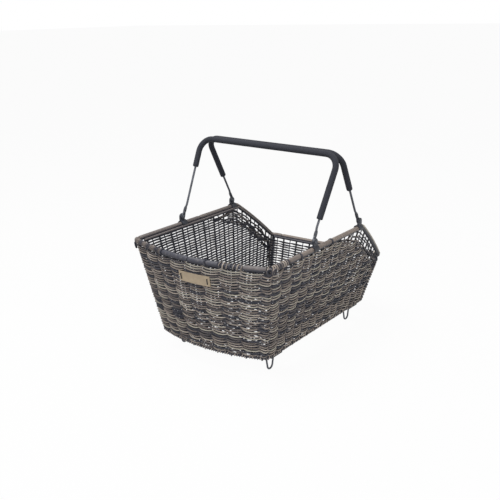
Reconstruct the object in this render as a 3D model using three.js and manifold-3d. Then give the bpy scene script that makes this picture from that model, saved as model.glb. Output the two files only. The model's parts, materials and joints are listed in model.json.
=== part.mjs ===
// A rear-carrier bicycle basket: a welded wire frame woven with flat cane, a round cane border,
// two folding carrying handles with foam grips, and four wire hooks that drop over a carrier.
// Millimetres, +Z up. X runs across the basket, -Y is its bowed front and +Y its low back.
// The origin is midway along the basket, on the level of the hooks' lowest points.
import * as THREE from "three";
import { mergeVertices } from "three/addons/utils/BufferGeometryUtils.js";
import Module from "manifold-3d";

// Basket body, measured on centre lines.
const RIM_WIDTH = 330;
const RIM_LENGTH = 482;
const RIM_BOW = 34;
const BASE_WIDTH = 258;
const BASE_LENGTH = 398;
const BASE_BOW = 24;
const BASE_CENTRE_Y = -1;
const WALL_HEIGHT = 197;
const BACK_HEIGHT = 99;
const PEAK_TO_BACK = 120;
const PEAK_EASE = 3;
const FRONT_CORNER = 11;
const BACK_CORNER = 16;

// Wire frame, border and weave.
const ROD_RADIUS = 3;
const STAKE_RADIUS = 2;
const RAIL_RADIUS = 2.5;
const FRONT_STAKES = 8;
const SIDE_STAKES = 13;
const BACK_STAKES = 7;
const FLOOR_WIRES = 6;
const BORDER_RADIUS = 5.5;
const CORNER_CANE = 8;
const SIDE_CANE = 22;
const PEAK_CANE = 27;
const BASE_BORDER_RADIUS = 4.5;
const STRAND_HEIGHT = 11;
const STRAND_THICKNESS = 2;
const STRAND_GAP = 2.5;

// Carrier bars and hooks under the floor.
const HOOK_DROP = 39;
const HOOK_SPREAD = 220;
const HOOK_SPACING = 296;
const HOOK_CENTRE_Y = 11;
const HOOK_LOOP = 24;
const HOOK_RADIUS = 1.7;
const HOOK_HEAD_RADIUS = 3;
const HOOK_HEAD_HEIGHT = 1.6;
const BAR_WIDTH = 36;
const BAR_THICKNESS = 3;

// Handles, their brackets and pivots.
const HANDLE_SPACING = 172;
const GRIP_RISE = 169;
const GRIP_RADIUS = 6.2;
const GRIP_ON_LEG = 96;
const FRONT_GRIP_SLIDE = 33;
const REAR_GRIP_SLIDE = -7;
const FRONT_HANDLE_FLARE = 8;
const REAR_HANDLE_FLARE = 3;
const HANDLE_WIRE_RADIUS = 2.25;
const HANDLE_BEND = 28;
const JOGGLE = 1.2;
const JOGGLE_START = 20;
const JOGGLE_LENGTH = 7;
const EYE_RADIUS = 5.2;
const EYE_THICKNESS = 2.4;
const EYE_NECK = 14;
const PEAK_TO_PIVOT = 15.3;
const BRACKET_LENGTH = 16;
const BRACKET_WALL = 2;
const BRACKET_WRAP = 20;
const EAR_WIDTH = 14;
const EAR_THICKNESS = 3.5;
const RIVET_RADIUS = 2;
const RIVET_HEAD_RADIUS = 4;
const RIVET_HEAD_HEIGHT = 1.8;
const RIVET_CROWN_RADIUS = 2.4;

// Name plate on the front wall, left bare.
const PLATE_WIDTH = 70;
const PLATE_HEIGHT = 21;
const PLATE_THICKNESS = 1.5;
const PLATE_X = 13;
const PLATE_BELOW_RIM = 36;
const STAPLE_WIDTH = 1.4;
const STAPLE_SPAN = 10;
const STAPLE_INSET = 5;

// Clearances.
const GAP = 0.3;
const WEAVE_CLEARANCE = 0.5;
const SLOT_CLEARANCE = 0.6;
const EYE_CLEARANCE = 2.2;
const BORDER_CLEARANCE = 3;

// Heights and lines that follow from them.
const BASE_Z = HOOK_DROP;
const RIM_Z = BASE_Z + WALL_HEIGHT;
const BACK_Z = BASE_Z + BACK_HEIGHT;
const RAIL_Z = BASE_Z + BASE_BORDER_RADIUS;
const RIM_FRONT_Y = -RIM_LENGTH / 2;
const RIM_BACK_Y = RIM_LENGTH / 2;
const BASE_FRONT_Y = BASE_CENTRE_Y - BASE_LENGTH / 2;
const BASE_BACK_Y = BASE_CENTRE_Y + BASE_LENGTH / 2;
const STRAND_PITCH = STRAND_HEIGHT + STRAND_GAP;
const STRAND_OFFSET = STAKE_RADIUS + STRAND_THICKNESS / 2 + WEAVE_CLEARANCE;
const WEAVE_FACE = STRAND_OFFSET + STRAND_THICKNESS / 2;
const SADDLE_INNER = BORDER_RADIUS + GAP;
const SADDLE_OUTER = SADDLE_INNER + BRACKET_WALL;
const PIVOT_RISE = SADDLE_OUTER + EYE_RADIUS + EYE_CLEARANCE;
const PIVOT_Z = RIM_Z + PIVOT_RISE;
const EAR_X = RIM_WIDTH / 2;
const EYE_X = EAR_X - GAP - EYE_THICKNESS / 2;
const LEG_X = EYE_X - JOGGLE;
const HANDLE_REACH = HANDLE_SPACING / 2 - GRIP_RADIUS - GAP / 2;
const HANDLE_RISE = GRIP_RISE - PIVOT_RISE;
const LEG_LENGTH = Math.hypot(HANDLE_REACH, HANDLE_RISE);
const HANDLE_LEAN = Math.atan2(HANDLE_REACH, HANDLE_RISE);
const FLOOR_BOTTOM = RAIL_Z - WEAVE_FACE;
const BAR_TOP = FLOOR_BOTTOM - 2 * GAP - HOOK_HEAD_HEIGHT;
const FRONT_HOOK_Y = HOOK_CENTRE_Y - HOOK_SPACING / 2;
const REAR_HOOK_Y = HOOK_CENTRE_Y + HOOK_SPACING / 2;

// How finely round forms are divided, and small steps in the working.
const ARC_STEPS = 5;
const WIRE_SIDES = 6;
const ROUND_SIDES = 8;
const HOLE_SIDES = 8;
const OVERCUT = 2;
const WELD = 1e-4;
const STATION_STEP = 1e-3;

const wasm = await Module();
wasm.setup();

const mix = THREE.MathUtils.lerp;
const clamp = THREE.MathUtils.clamp;
const vec = (x, y, z) => new THREE.Vector3(x, y, z);
const UP = vec(0, 0, 1);

const cane = { color: 0x6a5d52, roughness: 0.62, metalness: 0 };
const darkCane = { color: 0x3d4047, roughness: 0.6, metalness: 0 };
const wire = { color: 0x8b949c, roughness: 0.42, metalness: 0.9 };
const frameSteel = { color: 0x2e3136, roughness: 0.55, metalness: 0.6 };
const plastic = { color: 0x23272e, roughness: 0.5, metalness: 0 };
const foam = { color: 0x2b2f38, roughness: 0.9, metalness: 0 };
const plateCard = { color: 0xc9b79c, roughness: 0.7, metalness: 0 };

const basket = new THREE.Group();

function piece(name, geometry, finish, parent = basket) {
  const mesh = new THREE.Mesh(geometry, new THREE.MeshStandardMaterial(finish));
  mesh.name = name;
  parent.add(mesh);
  return mesh;
}

// Solids for joining and cutting.
function solid(geometry) {
  const bare = new THREE.BufferGeometry();
  bare.setAttribute("position", geometry.getAttribute("position").clone());
  if (geometry.index) bare.setIndex(geometry.index.clone());
  const merged = mergeVertices(bare, WELD);
  return new wasm.Manifold(
    new wasm.Mesh({
      numProp: 3,
      vertProperties: new Float32Array(merged.getAttribute("position").array),
      triVerts: new Uint32Array(merged.index.array),
    }),
  );
}

function geometryOf(manifold) {
  const mesh = manifold.getMesh();
  const geometry = new THREE.BufferGeometry();
  geometry.setAttribute("position", new THREE.BufferAttribute(mesh.vertProperties, 3));
  geometry.setIndex(new THREE.BufferAttribute(mesh.triVerts, 1));
  geometry.computeVertexNormals();
  return geometry;
}

const joined = (geometries) => geometryOf(geometries.map(solid).reduce((a, b) => a.add(b)));

const cut = (body, cutters) =>
  geometryOf(cutters.map(solid).reduce((a, b) => a.subtract(b), solid(body)));

// Sections, as lists of [outward, upward] points.
function circle(radius, sides) {
  return Array.from({ length: sides }, (_, i) => {
    const angle = ((i + 0.5) / sides) * 2 * Math.PI;
    return [radius * Math.cos(angle), radius * Math.sin(angle)];
  });
}

function rectangle(width, height) {
  return [
    [width / 2, -height / 2],
    [width / 2, height / 2],
    [-width / 2, height / 2],
    [-width / 2, -height / 2],
  ];
}

// The border cane's section: a round cane split along its underside to take the rod and stakes.
function splitCane() {
  const steps = 6;
  const slot = STAKE_RADIUS + SLOT_CLEARANCE;
  const bore = (ROD_RADIUS + GAP) / Math.cos(Math.PI / steps);
  const arc = (radius) => {
    const edge = Math.asin(slot / radius) - Math.PI / 2;
    return Array.from({ length: steps + 1 }, (_, i) => {
      const angle = mix(edge, Math.PI - edge, i / steps);
      return [radius * Math.cos(angle), radius * Math.sin(angle)];
    });
  };
  return [...arc(BORDER_RADIUS), ...arc(bore).reverse()];
}

// Rings of a section carried along a path, mitred at each point.
function sweepRings(path, ups, section, loop = false) {
  return path.map((point, i) => {
    const before = path[i - 1] ?? (loop ? path.at(-1) : null);
    const after = path[i + 1] ?? (loop ? path[0] : null);
    const arriving = before ? point.clone().sub(before).normalize() : null;
    const leaving = after ? after.clone().sub(point).normalize() : null;
    const along = arriving ?? leaving;
    const mitre = arriving && leaving ? arriving.clone().add(leaving).normalize() : along;
    const up = ups[i].clone().addScaledVector(along, -ups[i].dot(along)).normalize();
    const out = along.clone().cross(up);
    return section.map(([a, b]) => {
      const offset = out.clone().multiplyScalar(a).addScaledVector(up, b);
      offset.addScaledVector(along, -offset.dot(mitre) / along.dot(mitre));
      return offset.add(point);
    });
  });
}

// A closed skin over rings, with its faces turned outward. Open runs are capped by `section`.
function loft(rings, section = null) {
  const sides = rings[0].length;
  const points = rings.flat();
  const index = [];
  const spans = section ? rings.length - 1 : rings.length;
  for (let i = 0; i < spans; i++) {
    const next = ((i + 1) % rings.length) * sides;
    for (let j = 0; j < sides; j++) {
      const k = (j + 1) % sides;
      index.push(i * sides + j, i * sides + k, next + k);
      index.push(i * sides + j, next + k, next + j);
    }
  }
  if (section) {
    const outline = section.map(([a, b]) => new THREE.Vector2(a, b));
    const last = (rings.length - 1) * sides;
    for (const [a, b, c] of THREE.ShapeUtils.triangulateShape(outline, [])) {
      index.push(c, b, a, last + a, last + b, last + c);
    }
  }
  let volume = 0;
  for (let i = 0; i < index.length; i += 3) {
    const [a, b, c] = [points[index[i]], points[index[i + 1]], points[index[i + 2]]];
    volume += a.dot(b.clone().cross(c));
  }
  if (volume < 0) index.reverse();
  const geometry = new THREE.BufferGeometry().setFromPoints(points);
  geometry.setIndex(index);
  geometry.computeVertexNormals();
  return geometry;
}

const sweep = (path, ups, section) => loft(sweepRings(path, ups, section), section);

const steadyUps = (path, up) => path.map(() => up);

const rod = (a, b, radius, sides, up) => sweep([a, b], [up, up], circle(radius, sides));

// The walls. A station runs once round the basket: 0 is the middle of the front, and on the right
// 1 to 2 is the front corner, 2 to 3 the side, 3 to 4 the back corner and 5 the middle of the back.
// Stations on the left are negative.
function outlineAt(z) {
  const share = (z - BASE_Z) / WALL_HEIGHT;
  const bow = mix(BASE_BOW, RIM_BOW, share);
  return {
    bow,
    half: mix(BASE_WIDTH, RIM_WIDTH, share) / 2,
    front: mix(BASE_FRONT_Y, RIM_FRONT_Y, share) + bow,
    back: BASE_BACK_Y + ((RIM_BACK_Y - BASE_BACK_Y) * (z - BASE_Z)) / BACK_HEIGHT,
  };
}

function bend(start, corner, end, t) {
  return [0, 1].map((i) => mix(mix(start[i], corner[i], t), mix(corner[i], end[i], t), t));
}

function wallPoint(station, z) {
  const { bow, half, front, back } = outlineAt(z);
  const place = Math.abs(station);
  const part = Math.min(Math.floor(place), 4);
  const t = place - part;
  const frontEnd = half - FRONT_CORNER;
  const bowed = (x) => front - bow * (1 - (x / half) ** 2);
  const sideStart = [half, front + FRONT_CORNER];
  const sideEnd = [half, back - BACK_CORNER];
  const backStart = [half - BACK_CORNER, back];
  const [x, y] = [
    () => [frontEnd * t, bowed(frontEnd * t)],
    () => bend([frontEnd, bowed(frontEnd)], [half, front], sideStart, t),
    () => [half, mix(sideStart[1], sideEnd[1], t)],
    () => bend(sideEnd, [half, back], backStart, t),
    () => [backStart[0] * (1 - t), back],
  ][part]();
  return vec(Math.sign(station) * x, y, z);
}

// The wall's own directions at a station: along, up the slope, and out of the basket.
function wallFrame(station, z) {
  const along = wallPoint(Math.min(station + STATION_STEP, 5), z)
    .sub(wallPoint(Math.max(station - STATION_STEP, -5), z))
    .normalize();
  const up = wallPoint(station, z + 1).sub(wallPoint(station, z)).normalize();
  const out = along.clone().cross(up).normalize();
  return { along, up, out };
}

// The side rims run level to a peak, then slope down to the low back.
const rimOutline = outlineAt(RIM_Z);
const SIDE_FRONT_Y = rimOutline.front + FRONT_CORNER;
const SIDE_LENGTH = rimOutline.back - BACK_CORNER - SIDE_FRONT_Y;
const PEAK_Y = RIM_BACK_Y - PEAK_TO_BACK;
const PEAK = 2 + (PEAK_Y - SIDE_FRONT_Y) / SIDE_LENGTH;
const HALF_BEND = (Math.SQRT2 + Math.asinh(1)) / Math.SQRT2 / 2;
const CORNER_RUN = HALF_BEND * BACK_CORNER;
const SLOPE_RUN = (3 - PEAK) * SIDE_LENGTH + CORNER_RUN;

function rimHeight(station) {
  const place = Math.abs(station);
  const onSide = (clamp(place, PEAK, 3) - PEAK) * SIDE_LENGTH;
  const onCorner = clamp(place - 3, 0, 0.5) * 2 * CORNER_RUN;
  return mix(RIM_Z, BACK_Z, (onSide + onCorner) / SLOPE_RUN);
}

const rimPoint = (station) => wallPoint(station, rimHeight(station));

const rimUp = (station) => wallFrame(station, rimHeight(station)).up;

// Stations where the rim bends, on the right half.
const PEAK_BEND = PEAK_EASE / SIDE_LENGTH;
const slopeStations = [0.25, 0.5, 0.75].map((t) => mix(PEAK, 3, t));
const halfBends = [
  ...[0.25, 0.5, 0.75, 1, 1.25, 1.5, 1.75, 2],
  ...[PEAK - PEAK_BEND, PEAK + PEAK_BEND, ...slopeStations],
  ...[3, 3.25, 3.5, 3.75, 4],
];
const bends = [...halfBends.map((s) => -s).reverse(), 0, ...halfBends];

// Stations from one to another round the front, or from right to left round the back.
function stationsBetween(start, end) {
  if (start < end) return [start, ...bends.filter((s) => s > start && s < end), end];
  return [...stationsBetween(start, 5), ...stationsBetween(-5, end).slice(1)];
}

// One length of rod or cane between two stations, mitred to its neighbours and half a gap short of them.
function lengthBetween(stations, pointAt, upAt, section) {
  const previous = bends.filter((s) => s < stations[0]).at(-1) ?? -5;
  const next = bends.find((s) => s > stations.at(-1)) ?? 5;
  const reach = [previous, ...stations, next];
  const rings = sweepRings(reach.map(pointAt), reach.map(upAt), section).slice(1, -1);
  const pull = (end, inner) => {
    const back = pointAt(stations.at(inner)).sub(pointAt(stations.at(end))).setLength(GAP / 2);
    rings.at(end).forEach((p) => p.add(back));
  };
  pull(0, 1);
  pull(-1, -2);
  return loft(rings, section);
}

// Rim rod and the split border cane over it.
function buildRim() {
  const loop = bends.slice();
  const rings = sweepRings(loop.map(rimPoint), loop.map(rimUp), circle(ROD_RADIUS, WIRE_SIDES), true);
  piece("rim_rod", loft(rings), frameSteel);

  const joints = {
    front: 1 - CORNER_CANE / (rimOutline.half - FRONT_CORNER),
    side: 2 + SIDE_CANE / SIDE_LENGTH,
    slope: PEAK + PEAK_CANE / SIDE_LENGTH,
    back: 3,
    rear: 4 + CORNER_CANE / (outlineAt(BACK_Z).half - BACK_CORNER),
  };
  const lengths = [
    ["border_front", -joints.front, joints.front, cane],
    ["border_back", joints.rear, -joints.rear, cane],
  ];
  for (const [side, sign] of [["left", -1], ["right", 1]]) {
    const run = (name, a, b, finish) =>
      lengths.push([`${name}_${side}`, Math.min(sign * a, sign * b), Math.max(sign * a, sign * b), finish]);
    run("border_corner_front", joints.front, joints.side, darkCane);
    run("border_side", joints.side, joints.slope, cane);
    run("border_slope", joints.slope, joints.back, cane);
    run("border_corner_back", joints.back, joints.rear, darkCane);
  }
  for (const [name, start, end, finish] of lengths) {
    piece(name, lengthBetween(stationsBetween(start, end), rimPoint, rimUp, splitCane()), finish);
  }
}

// Upright stakes.
const spread = (count, start, end) =>
  Array.from({ length: count }, (_, i) => mix(start, end, (i + 0.5) / count));
const frontStakes = spread(FRONT_STAKES, -1, 1);
const rightStakes = spread(SIDE_STAKES, 2, 3);
const leftStakes = rightStakes.map((s) => -s).reverse();
const backStakes = spread(BACK_STAKES, 4, 6).map((s) => (s > 5 ? s - 10 : s));
const FRONT_POST = 1.5;
const BACK_POST = 3.5;

// Where a stake stops, a gap short of the rim rod that crosses it at a slant.
function stakeTop(station) {
  const z = rimHeight(station);
  const { up } = wallFrame(station, z);
  const rimAlong = rimPoint(Math.min(station + STATION_STEP, 5))
    .sub(rimPoint(Math.max(station - STATION_STEP, -5)))
    .normalize();
  const slant = up.dot(rimAlong);
  const back = (ROD_RADIUS + GAP + STAKE_RADIUS * Math.abs(slant)) / Math.sqrt(1 - slant ** 2);
  return wallPoint(station, z).addScaledVector(up, -back);
}

function stake(station, footZ) {
  const { out } = wallFrame(station, footZ);
  return rod(wallPoint(station, footZ), stakeTop(station), STAKE_RADIUS, WIRE_SIDES, out);
}

// One wall of the frame: stakes welded to the rail along the wall's foot.
function wallFrameGeometry(stations, start, end) {
  const railPoint = (s) => wallPoint(s, RAIL_Z);
  const section = circle(RAIL_RADIUS, ROUND_SIDES);
  const rail = lengthBetween(stationsBetween(start, end), railPoint, () => UP, section);
  return joined([rail, ...stations.map((s) => stake(s, RAIL_Z))]);
}

function buildFrame() {
  piece("front_frame", wallFrameGeometry(frontStakes, -FRONT_POST, FRONT_POST), frameSteel);
  piece("right_frame", wallFrameGeometry(rightStakes, FRONT_POST, BACK_POST), frameSteel);
  piece("back_frame", wallFrameGeometry(backStakes, BACK_POST, -BACK_POST), frameSteel);
  piece("left_frame", wallFrameGeometry(leftStakes, -BACK_POST, -FRONT_POST), frameSteel);
  for (const [name, station] of [
    ["corner_post_front_left", -FRONT_POST],
    ["corner_post_front_right", FRONT_POST],
    ["corner_post_back_right", BACK_POST],
    ["corner_post_back_left", -BACK_POST],
  ]) {
    const { up } = wallFrame(station, RAIL_Z);
    const tilt = Math.hypot(up.x, up.y) / up.z;
    piece(name, stake(station, RAIL_Z + RAIL_RADIUS + GAP + STAKE_RADIUS * tilt), frameSteel);
  }
}

// How far out the side rails stand where a bar's turned-up ends lie beside them.
const RAIL_SAMPLES = 120;
const sideRail = Array.from({ length: RAIL_SAMPLES + 1 }, (_, i) =>
  wallPoint(mix(1, 4, i / RAIL_SAMPLES), RAIL_Z),
);
const besideBar = (y, barY) => Math.abs(y - barY) < BAR_WIDTH / 2 + RAIL_RADIUS;
const besideBars = sideRail.filter(({ y }) => besideBar(y, FRONT_HOOK_Y) || besideBar(y, REAR_HOOK_Y));
const RAIL_X_AT_BARS = Math.min(...besideBars.map(({ x }) => x));

// Floor wires run from the bowed front rail to the back rail and are tied by a cross wire at the back.
// The outer ones stand inside the bars' turned-up ends.
const floorOutline = outlineAt(RAIL_Z);
const BAR_STAND = RAIL_RADIUS + 2 * GAP + BAR_THICKNESS;
const FLOOR_HALF = RAIL_X_AT_BARS - BAR_STAND - WEAVE_FACE - WEAVE_CLEARANCE;
const floorX = Array.from({ length: FLOOR_WIRES }, (_, i) =>
  mix(-FLOOR_HALF, FLOOR_HALF, i / (FLOOR_WIRES - 1)),
);

// The rail's line at x, and how steeply it crosses there, from the corner's and the front's formulas.
function railAt(x, corner, end) {
  const inset = Math.max(Math.abs(x) - (floorOutline.half - corner), 0) / corner;
  const station = inset > 0 ? 1 - Math.sqrt(1 - inset) : Math.abs(x) / (floorOutline.half - corner);
  const place = end === "front" ? station + (inset > 0 ? 1 : 0) : inset > 0 ? 4 - station : 5 - station;
  const { along } = wallFrame(place, RAIL_Z);
  return { y: wallPoint(place, RAIL_Z).y, slope: Math.abs(along.y / along.x) };
}

function floorWireEnds(x) {
  const standBack = (slope) => (RAIL_RADIUS + GAP) * Math.hypot(1, slope) + STAKE_RADIUS * slope;
  const front = railAt(x, FRONT_CORNER, "front");
  const back = railAt(x, BACK_CORNER, "back");
  return [front.y + standBack(front.slope), back.y - standBack(back.slope)];
}

const crossY = floorWireEnds(FLOOR_HALF)[1] - STAKE_RADIUS;

function buildFloorFrame() {
  const wires = floorX.map((x) => {
    const [front, back] = floorWireEnds(x);
    return rod(vec(x, front, RAIL_Z), vec(x, back, RAIL_Z), STAKE_RADIUS, WIRE_SIDES, UP);
  });
  const ends = [vec(-FLOOR_HALF, crossY, RAIL_Z), vec(FLOOR_HALF, crossY, RAIL_Z)];
  piece("floor_frame", joined([...wires, rod(...ends, STAKE_RADIUS, WIRE_SIDES, UP)]), frameSteel);
}

// Weave. A strand passes each stake on alternate sides.
const strandSection = rectangle(STRAND_THICKNESS, STRAND_HEIGHT);

// The mitre of a path at one of its points, square to a stake there, and how far it stretches a section.
function mitreAt(points, i, stakeUp) {
  const level = (d) => d.addScaledVector(stakeUp, -d.dot(stakeUp)).normalize();
  const arriving = i > 0 ? level(points[i].clone().sub(points[i - 1])) : null;
  const leaving = i + 1 < points.length ? level(points[i + 1].clone().sub(points[i])) : null;
  const along = arriving ?? leaving;
  const mitre = along.clone().add(leaving ?? arriving).normalize();
  return { out: mitre.clone().cross(stakeUp).normalize(), stretch: 1 / mitre.dot(along) };
}

// The path of a strand past marked stakes. It stands off each by the same distance from both of the
// straight runs that meet there, so it is shifted once for the wall's turn and once for its own zigzag.
function passStakes(marks) {
  const shifted = (points) =>
    marks.map(({ axis, up, side }, i) => {
      const { out, stretch } = mitreAt(points, i, up);
      return axis.clone().addScaledVector(out, side * STRAND_OFFSET * stretch);
    });
  return shifted(shifted(marks.map(({ axis }) => axis)));
}

// A flat strand along a path, standing parallel to the stake that it passes at each point.
function strand(path, ups) {
  const rings = path.map((point, i) => {
    const { out, stretch } = mitreAt(path, i, ups[i]);
    return strandSection.map(([a, b]) =>
      point.clone().addScaledVector(out, a * stretch).addScaledVector(ups[i], b),
    );
  });
  return loft(rings, strandSection);
}

const markAt = (station, z, side) => ({ axis: wallPoint(station, z), up: wallFrame(station, z).up, side });

const ring = [...leftStakes, -FRONT_POST, ...frontStakes, FRONT_POST, ...rightStakes];
const fullRing = [-BACK_POST, ...ring, BACK_POST, ...backStakes];

const LOWER_START = RAIL_Z + BASE_BORDER_RADIUS + WEAVE_CLEARANCE + STRAND_HEIGHT / 2;
const LOWER_END = BACK_Z - BORDER_RADIUS - WEAVE_CLEARANCE - STRAND_HEIGHT / 2;
const LOWER_ROUNDS = Math.floor((LOWER_END - LOWER_START) / STRAND_PITCH);
const LOWER_PITCH = (LOWER_END - LOWER_START) / LOWER_ROUNDS;
const UPPER_START = LOWER_END + STRAND_PITCH;
const SIDE_TILT = (RIM_WIDTH - BASE_WIDTH) / 2 / WALL_HEIGHT;
const UPPER_TOP = RIM_Z - BORDER_RADIUS - BORDER_CLEARANCE - WEAVE_FACE * SIDE_TILT;
const UPPER_END = UPPER_TOP - STRAND_HEIGHT / 2;
const UPPER_ROWS = Math.floor((UPPER_END - UPPER_START) / STRAND_PITCH) + 1;
const UPPER_PITCH = (UPPER_END - UPPER_START) / (UPPER_ROWS - 1);

// One strand spirals round all four walls, up to the low back rim.
function lowerWeave() {
  const count = fullRing.length;
  const marks = Array.from({ length: LOWER_ROUNDS * count + 1 }, (_, i) =>
    markAt(fullRing[i % count], LOWER_START + (i / count) * LOWER_PITCH, i % 2 ? -1 : 1),
  );
  return strand(passStakes(marks), marks.map(({ up }) => up));
}

// The half turn of a strand round the last stake of a row, from one face of the wall to the other.
function halfTurn(axisAt, face, outward) {
  return [-1, 1].map((way) =>
    axisAt(0.5 + way / 4)
      .addScaledVector(face, -way * STRAND_OFFSET)
      .addScaledVector(outward, STRAND_OFFSET),
  );
}

// The height that is free under the border where a strand turns round the stake at a station.
function underBorder(station) {
  const turnReach = (WEAVE_FACE + WEAVE_CLEARANCE) / SIDE_LENGTH;
  const slope = (RIM_Z - BACK_Z) / SLOPE_RUN;
  return rimHeight(Math.abs(station) + turnReach) - BORDER_RADIUS * Math.hypot(1, slope);
}

// Above the back rim a strand goes to and fro over the front and as much of the sides as is left.
function upperWeave() {
  const reachAt = (z) =>
    ring.filter((s) => underBorder(s) > z + STRAND_HEIGHT / 2 + WEAVE_CLEARANCE);
  const path = [];
  const ups = [];
  for (let row = 0; row < UPPER_ROWS; row++) {
    const z = UPPER_START + row * UPPER_PITCH;
    const way = row % 2 ? -1 : 1;
    const last = row + 1 === UPPER_ROWS;
    const here = reachAt(z);
    const above = last ? here : reachAt(z + UPPER_PITCH);
    const [first, final] = way > 0 ? [here[0], above.at(-1)] : [above[0], here.at(-1)];
    const stations = ring.filter((s) => s >= first && s <= final);
    if (way < 0) stations.reverse();
    const sideOf = (s) => ((ring.indexOf(s) + row) % 2 ? -1 : 1);
    const marks = stations.map((s) => markAt(s, z, way * sideOf(s)));
    path.push(...passStakes(marks));
    ups.push(...marks.map(({ up }) => up));
    if (last) continue;
    const turn = stations.at(-1);
    const { along, up, out } = wallFrame(turn, z);
    const axisAt = (t) => wallPoint(turn, z + t * UPPER_PITCH);
    path.push(...halfTurn(axisAt, out.multiplyScalar(sideOf(turn)), along.multiplyScalar(way)));
    ups.push(up, up);
  }
  return strand(path, ups);
}

// The floor's strand goes to and fro across the floor wires, from the bowed front to the back.
function floorWeave() {
  const margin = STRAND_HEIGHT / 2 + WEAVE_CLEARANCE;
  const first = Math.min(...floorX.map((x) => floorWireEnds(x)[0])) + margin;
  const rows = [];
  for (let y = first; y < crossY - STAKE_RADIUS - margin; y += STRAND_PITCH) {
    const wires = floorX.filter((x) => floorWireEnds(x)[0] <= y - margin);
    if (wires.length > 1) rows.push({ y, wires });
  }
  const path = [];
  const place = (x, y, side) => vec(x, y, RAIL_Z + side * STRAND_OFFSET);
  rows.forEach(({ y, wires }, row) => {
    const forward = row % 2 === 0;
    const side = (x) => ((floorX.indexOf(x) + row) % 2 ? -1 : 1);
    const next = rows[row + 1];
    const startWires = row > 0 ? wires.filter((x) => rows[row - 1].wires.includes(x)) : wires;
    const endWires = next ? wires.filter((x) => next.wires.includes(x)) : wires;
    const low = forward ? startWires[0] : endWires[0];
    const high = forward ? endWires.at(-1) : startWires.at(-1);
    const run = wires.filter((x) => x >= low && x <= high);
    if (!forward) run.reverse();
    run.forEach((x) => path.push(place(x, y, side(x))));
    if (!next) return;
    const turn = run.at(-1);
    const axisAt = (t) => vec(turn, mix(y, next.y, t), RAIL_Z);
    path.push(...halfTurn(axisAt, vec(0, 0, side(turn)), vec(forward ? 1 : -1, 0, 0)));
  });
  return strand(path, steadyUps(path, vec(0, 1, 0)));
}

function buildWeave() {
  piece("wall_weave_lower", lowerWeave(), cane);
  piece("wall_weave_upper", upperWeave(), cane);
  piece("floor_weave", floorWeave(), cane);
}

// A plaited border round the foot, in four lengths outside the rails.
function buildBaseBorder() {
  const offset = RAIL_RADIUS + GAP + BASE_BORDER_RADIUS;
  const along = (s) => {
    const out = wallFrame(s, RAIL_Z).out.setZ(0).normalize();
    return wallPoint(s, RAIL_Z).addScaledVector(out, offset);
  };
  for (const [name, start, end] of [
    ["base_border_front", -2, 2],
    ["base_border_right", 2, 3],
    ["base_border_back", 3, -3],
    ["base_border_left", -3, -2],
  ]) {
    const stations = stationsBetween(start, end).filter((s) => Math.abs(s) <= 2 || Math.abs(s) >= 3);
    const section = circle(BASE_BORDER_RADIUS, ROUND_SIDES);
    piece(name, lengthBetween(stations, along, () => UP, section), darkCane);
  }
}

// Flat cross bars under the floor, with ends turned up inside the side rails.
function buildBars() {
  const end = RAIL_X_AT_BARS - RAIL_RADIUS - GAP;
  const inner = end - BAR_THICKNESS;
  const bottom = BAR_TOP - BAR_THICKNESS;
  const top = RAIL_Z + RAIL_RADIUS;
  const profile = new THREE.Shape();
  profile.moveTo(-end, bottom);
  profile.lineTo(end, bottom);
  profile.lineTo(end, top);
  profile.lineTo(inner, top);
  profile.lineTo(inner, BAR_TOP);
  profile.lineTo(-inner, BAR_TOP);
  profile.lineTo(-inner, top);
  profile.lineTo(-end, top);
  profile.closePath();
  const bar = new THREE.ExtrudeGeometry(profile, { depth: BAR_WIDTH, bevelEnabled: false });
  bar.translate(0, 0, -BAR_WIDTH / 2);
  bar.rotateX(Math.PI / 2);
  const holes = [];
  for (const x of [-HOOK_SPREAD / 2, HOOK_SPREAD / 2]) {
    for (const y of [-HOOK_LOOP / 2, HOOK_LOOP / 2]) {
      const hole = roundCutter(HOOK_RADIUS + GAP, BAR_THICKNESS);
      hole.rotateX(Math.PI / 2);
      hole.translate(x, y, BAR_TOP - BAR_THICKNESS / 2);
      holes.push(hole);
    }
  }
  const drilled = cut(bar, holes);
  for (const [name, y] of [["floor_bar_front", FRONT_HOOK_Y], ["floor_bar_rear", REAR_HOOK_Y]]) {
    piece(name, drilled.clone(), frameSteel).position.y = y;
  }
}

// A cutter whose flats, not its corners, stand at the given radius. Its axis is Y.
function roundCutter(radius, depth) {
  const reach = radius / Math.cos(Math.PI / HOLE_SIDES);
  return new THREE.CylinderGeometry(reach, reach, depth + 2 * OVERCUT, HOLE_SIDES);
}

// Wire hooks: U loops through the bars, with riveted heads on top. Their lowest facet is level.
function hookGeometry() {
  const turns = 7;
  const half = HOOK_LOOP / 2;
  const facet = HOOK_RADIUS * Math.cos(Math.PI / WIRE_SIDES);
  const centreZ = half * Math.cos(Math.PI / turns / 2) + facet;
  const shoulder = BAR_TOP + GAP;
  const path = Array.from({ length: turns + 1 }, (_, i) => {
    const angle = Math.PI + (i * Math.PI) / turns;
    return vec(0, half * Math.cos(angle), centreZ + half * Math.sin(angle));
  });
  path.unshift(vec(0, -half, shoulder + HOOK_HEAD_HEIGHT / 2));
  path.push(vec(0, half, shoulder + HOOK_HEAD_HEIGHT / 2));
  const loop = sweep(path, steadyUps(path, vec(1, 0, 0)), circle(HOOK_RADIUS, WIRE_SIDES));
  const heads = [-half, half].map((y) =>
    new THREE.CylinderGeometry(HOOK_HEAD_RADIUS, HOOK_HEAD_RADIUS, HOOK_HEAD_HEIGHT, WIRE_SIDES)
      .rotateX(Math.PI / 2)
      .translate(0, y, shoulder + HOOK_HEAD_HEIGHT / 2),
  );
  return joined([loop, ...heads]);
}

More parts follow.
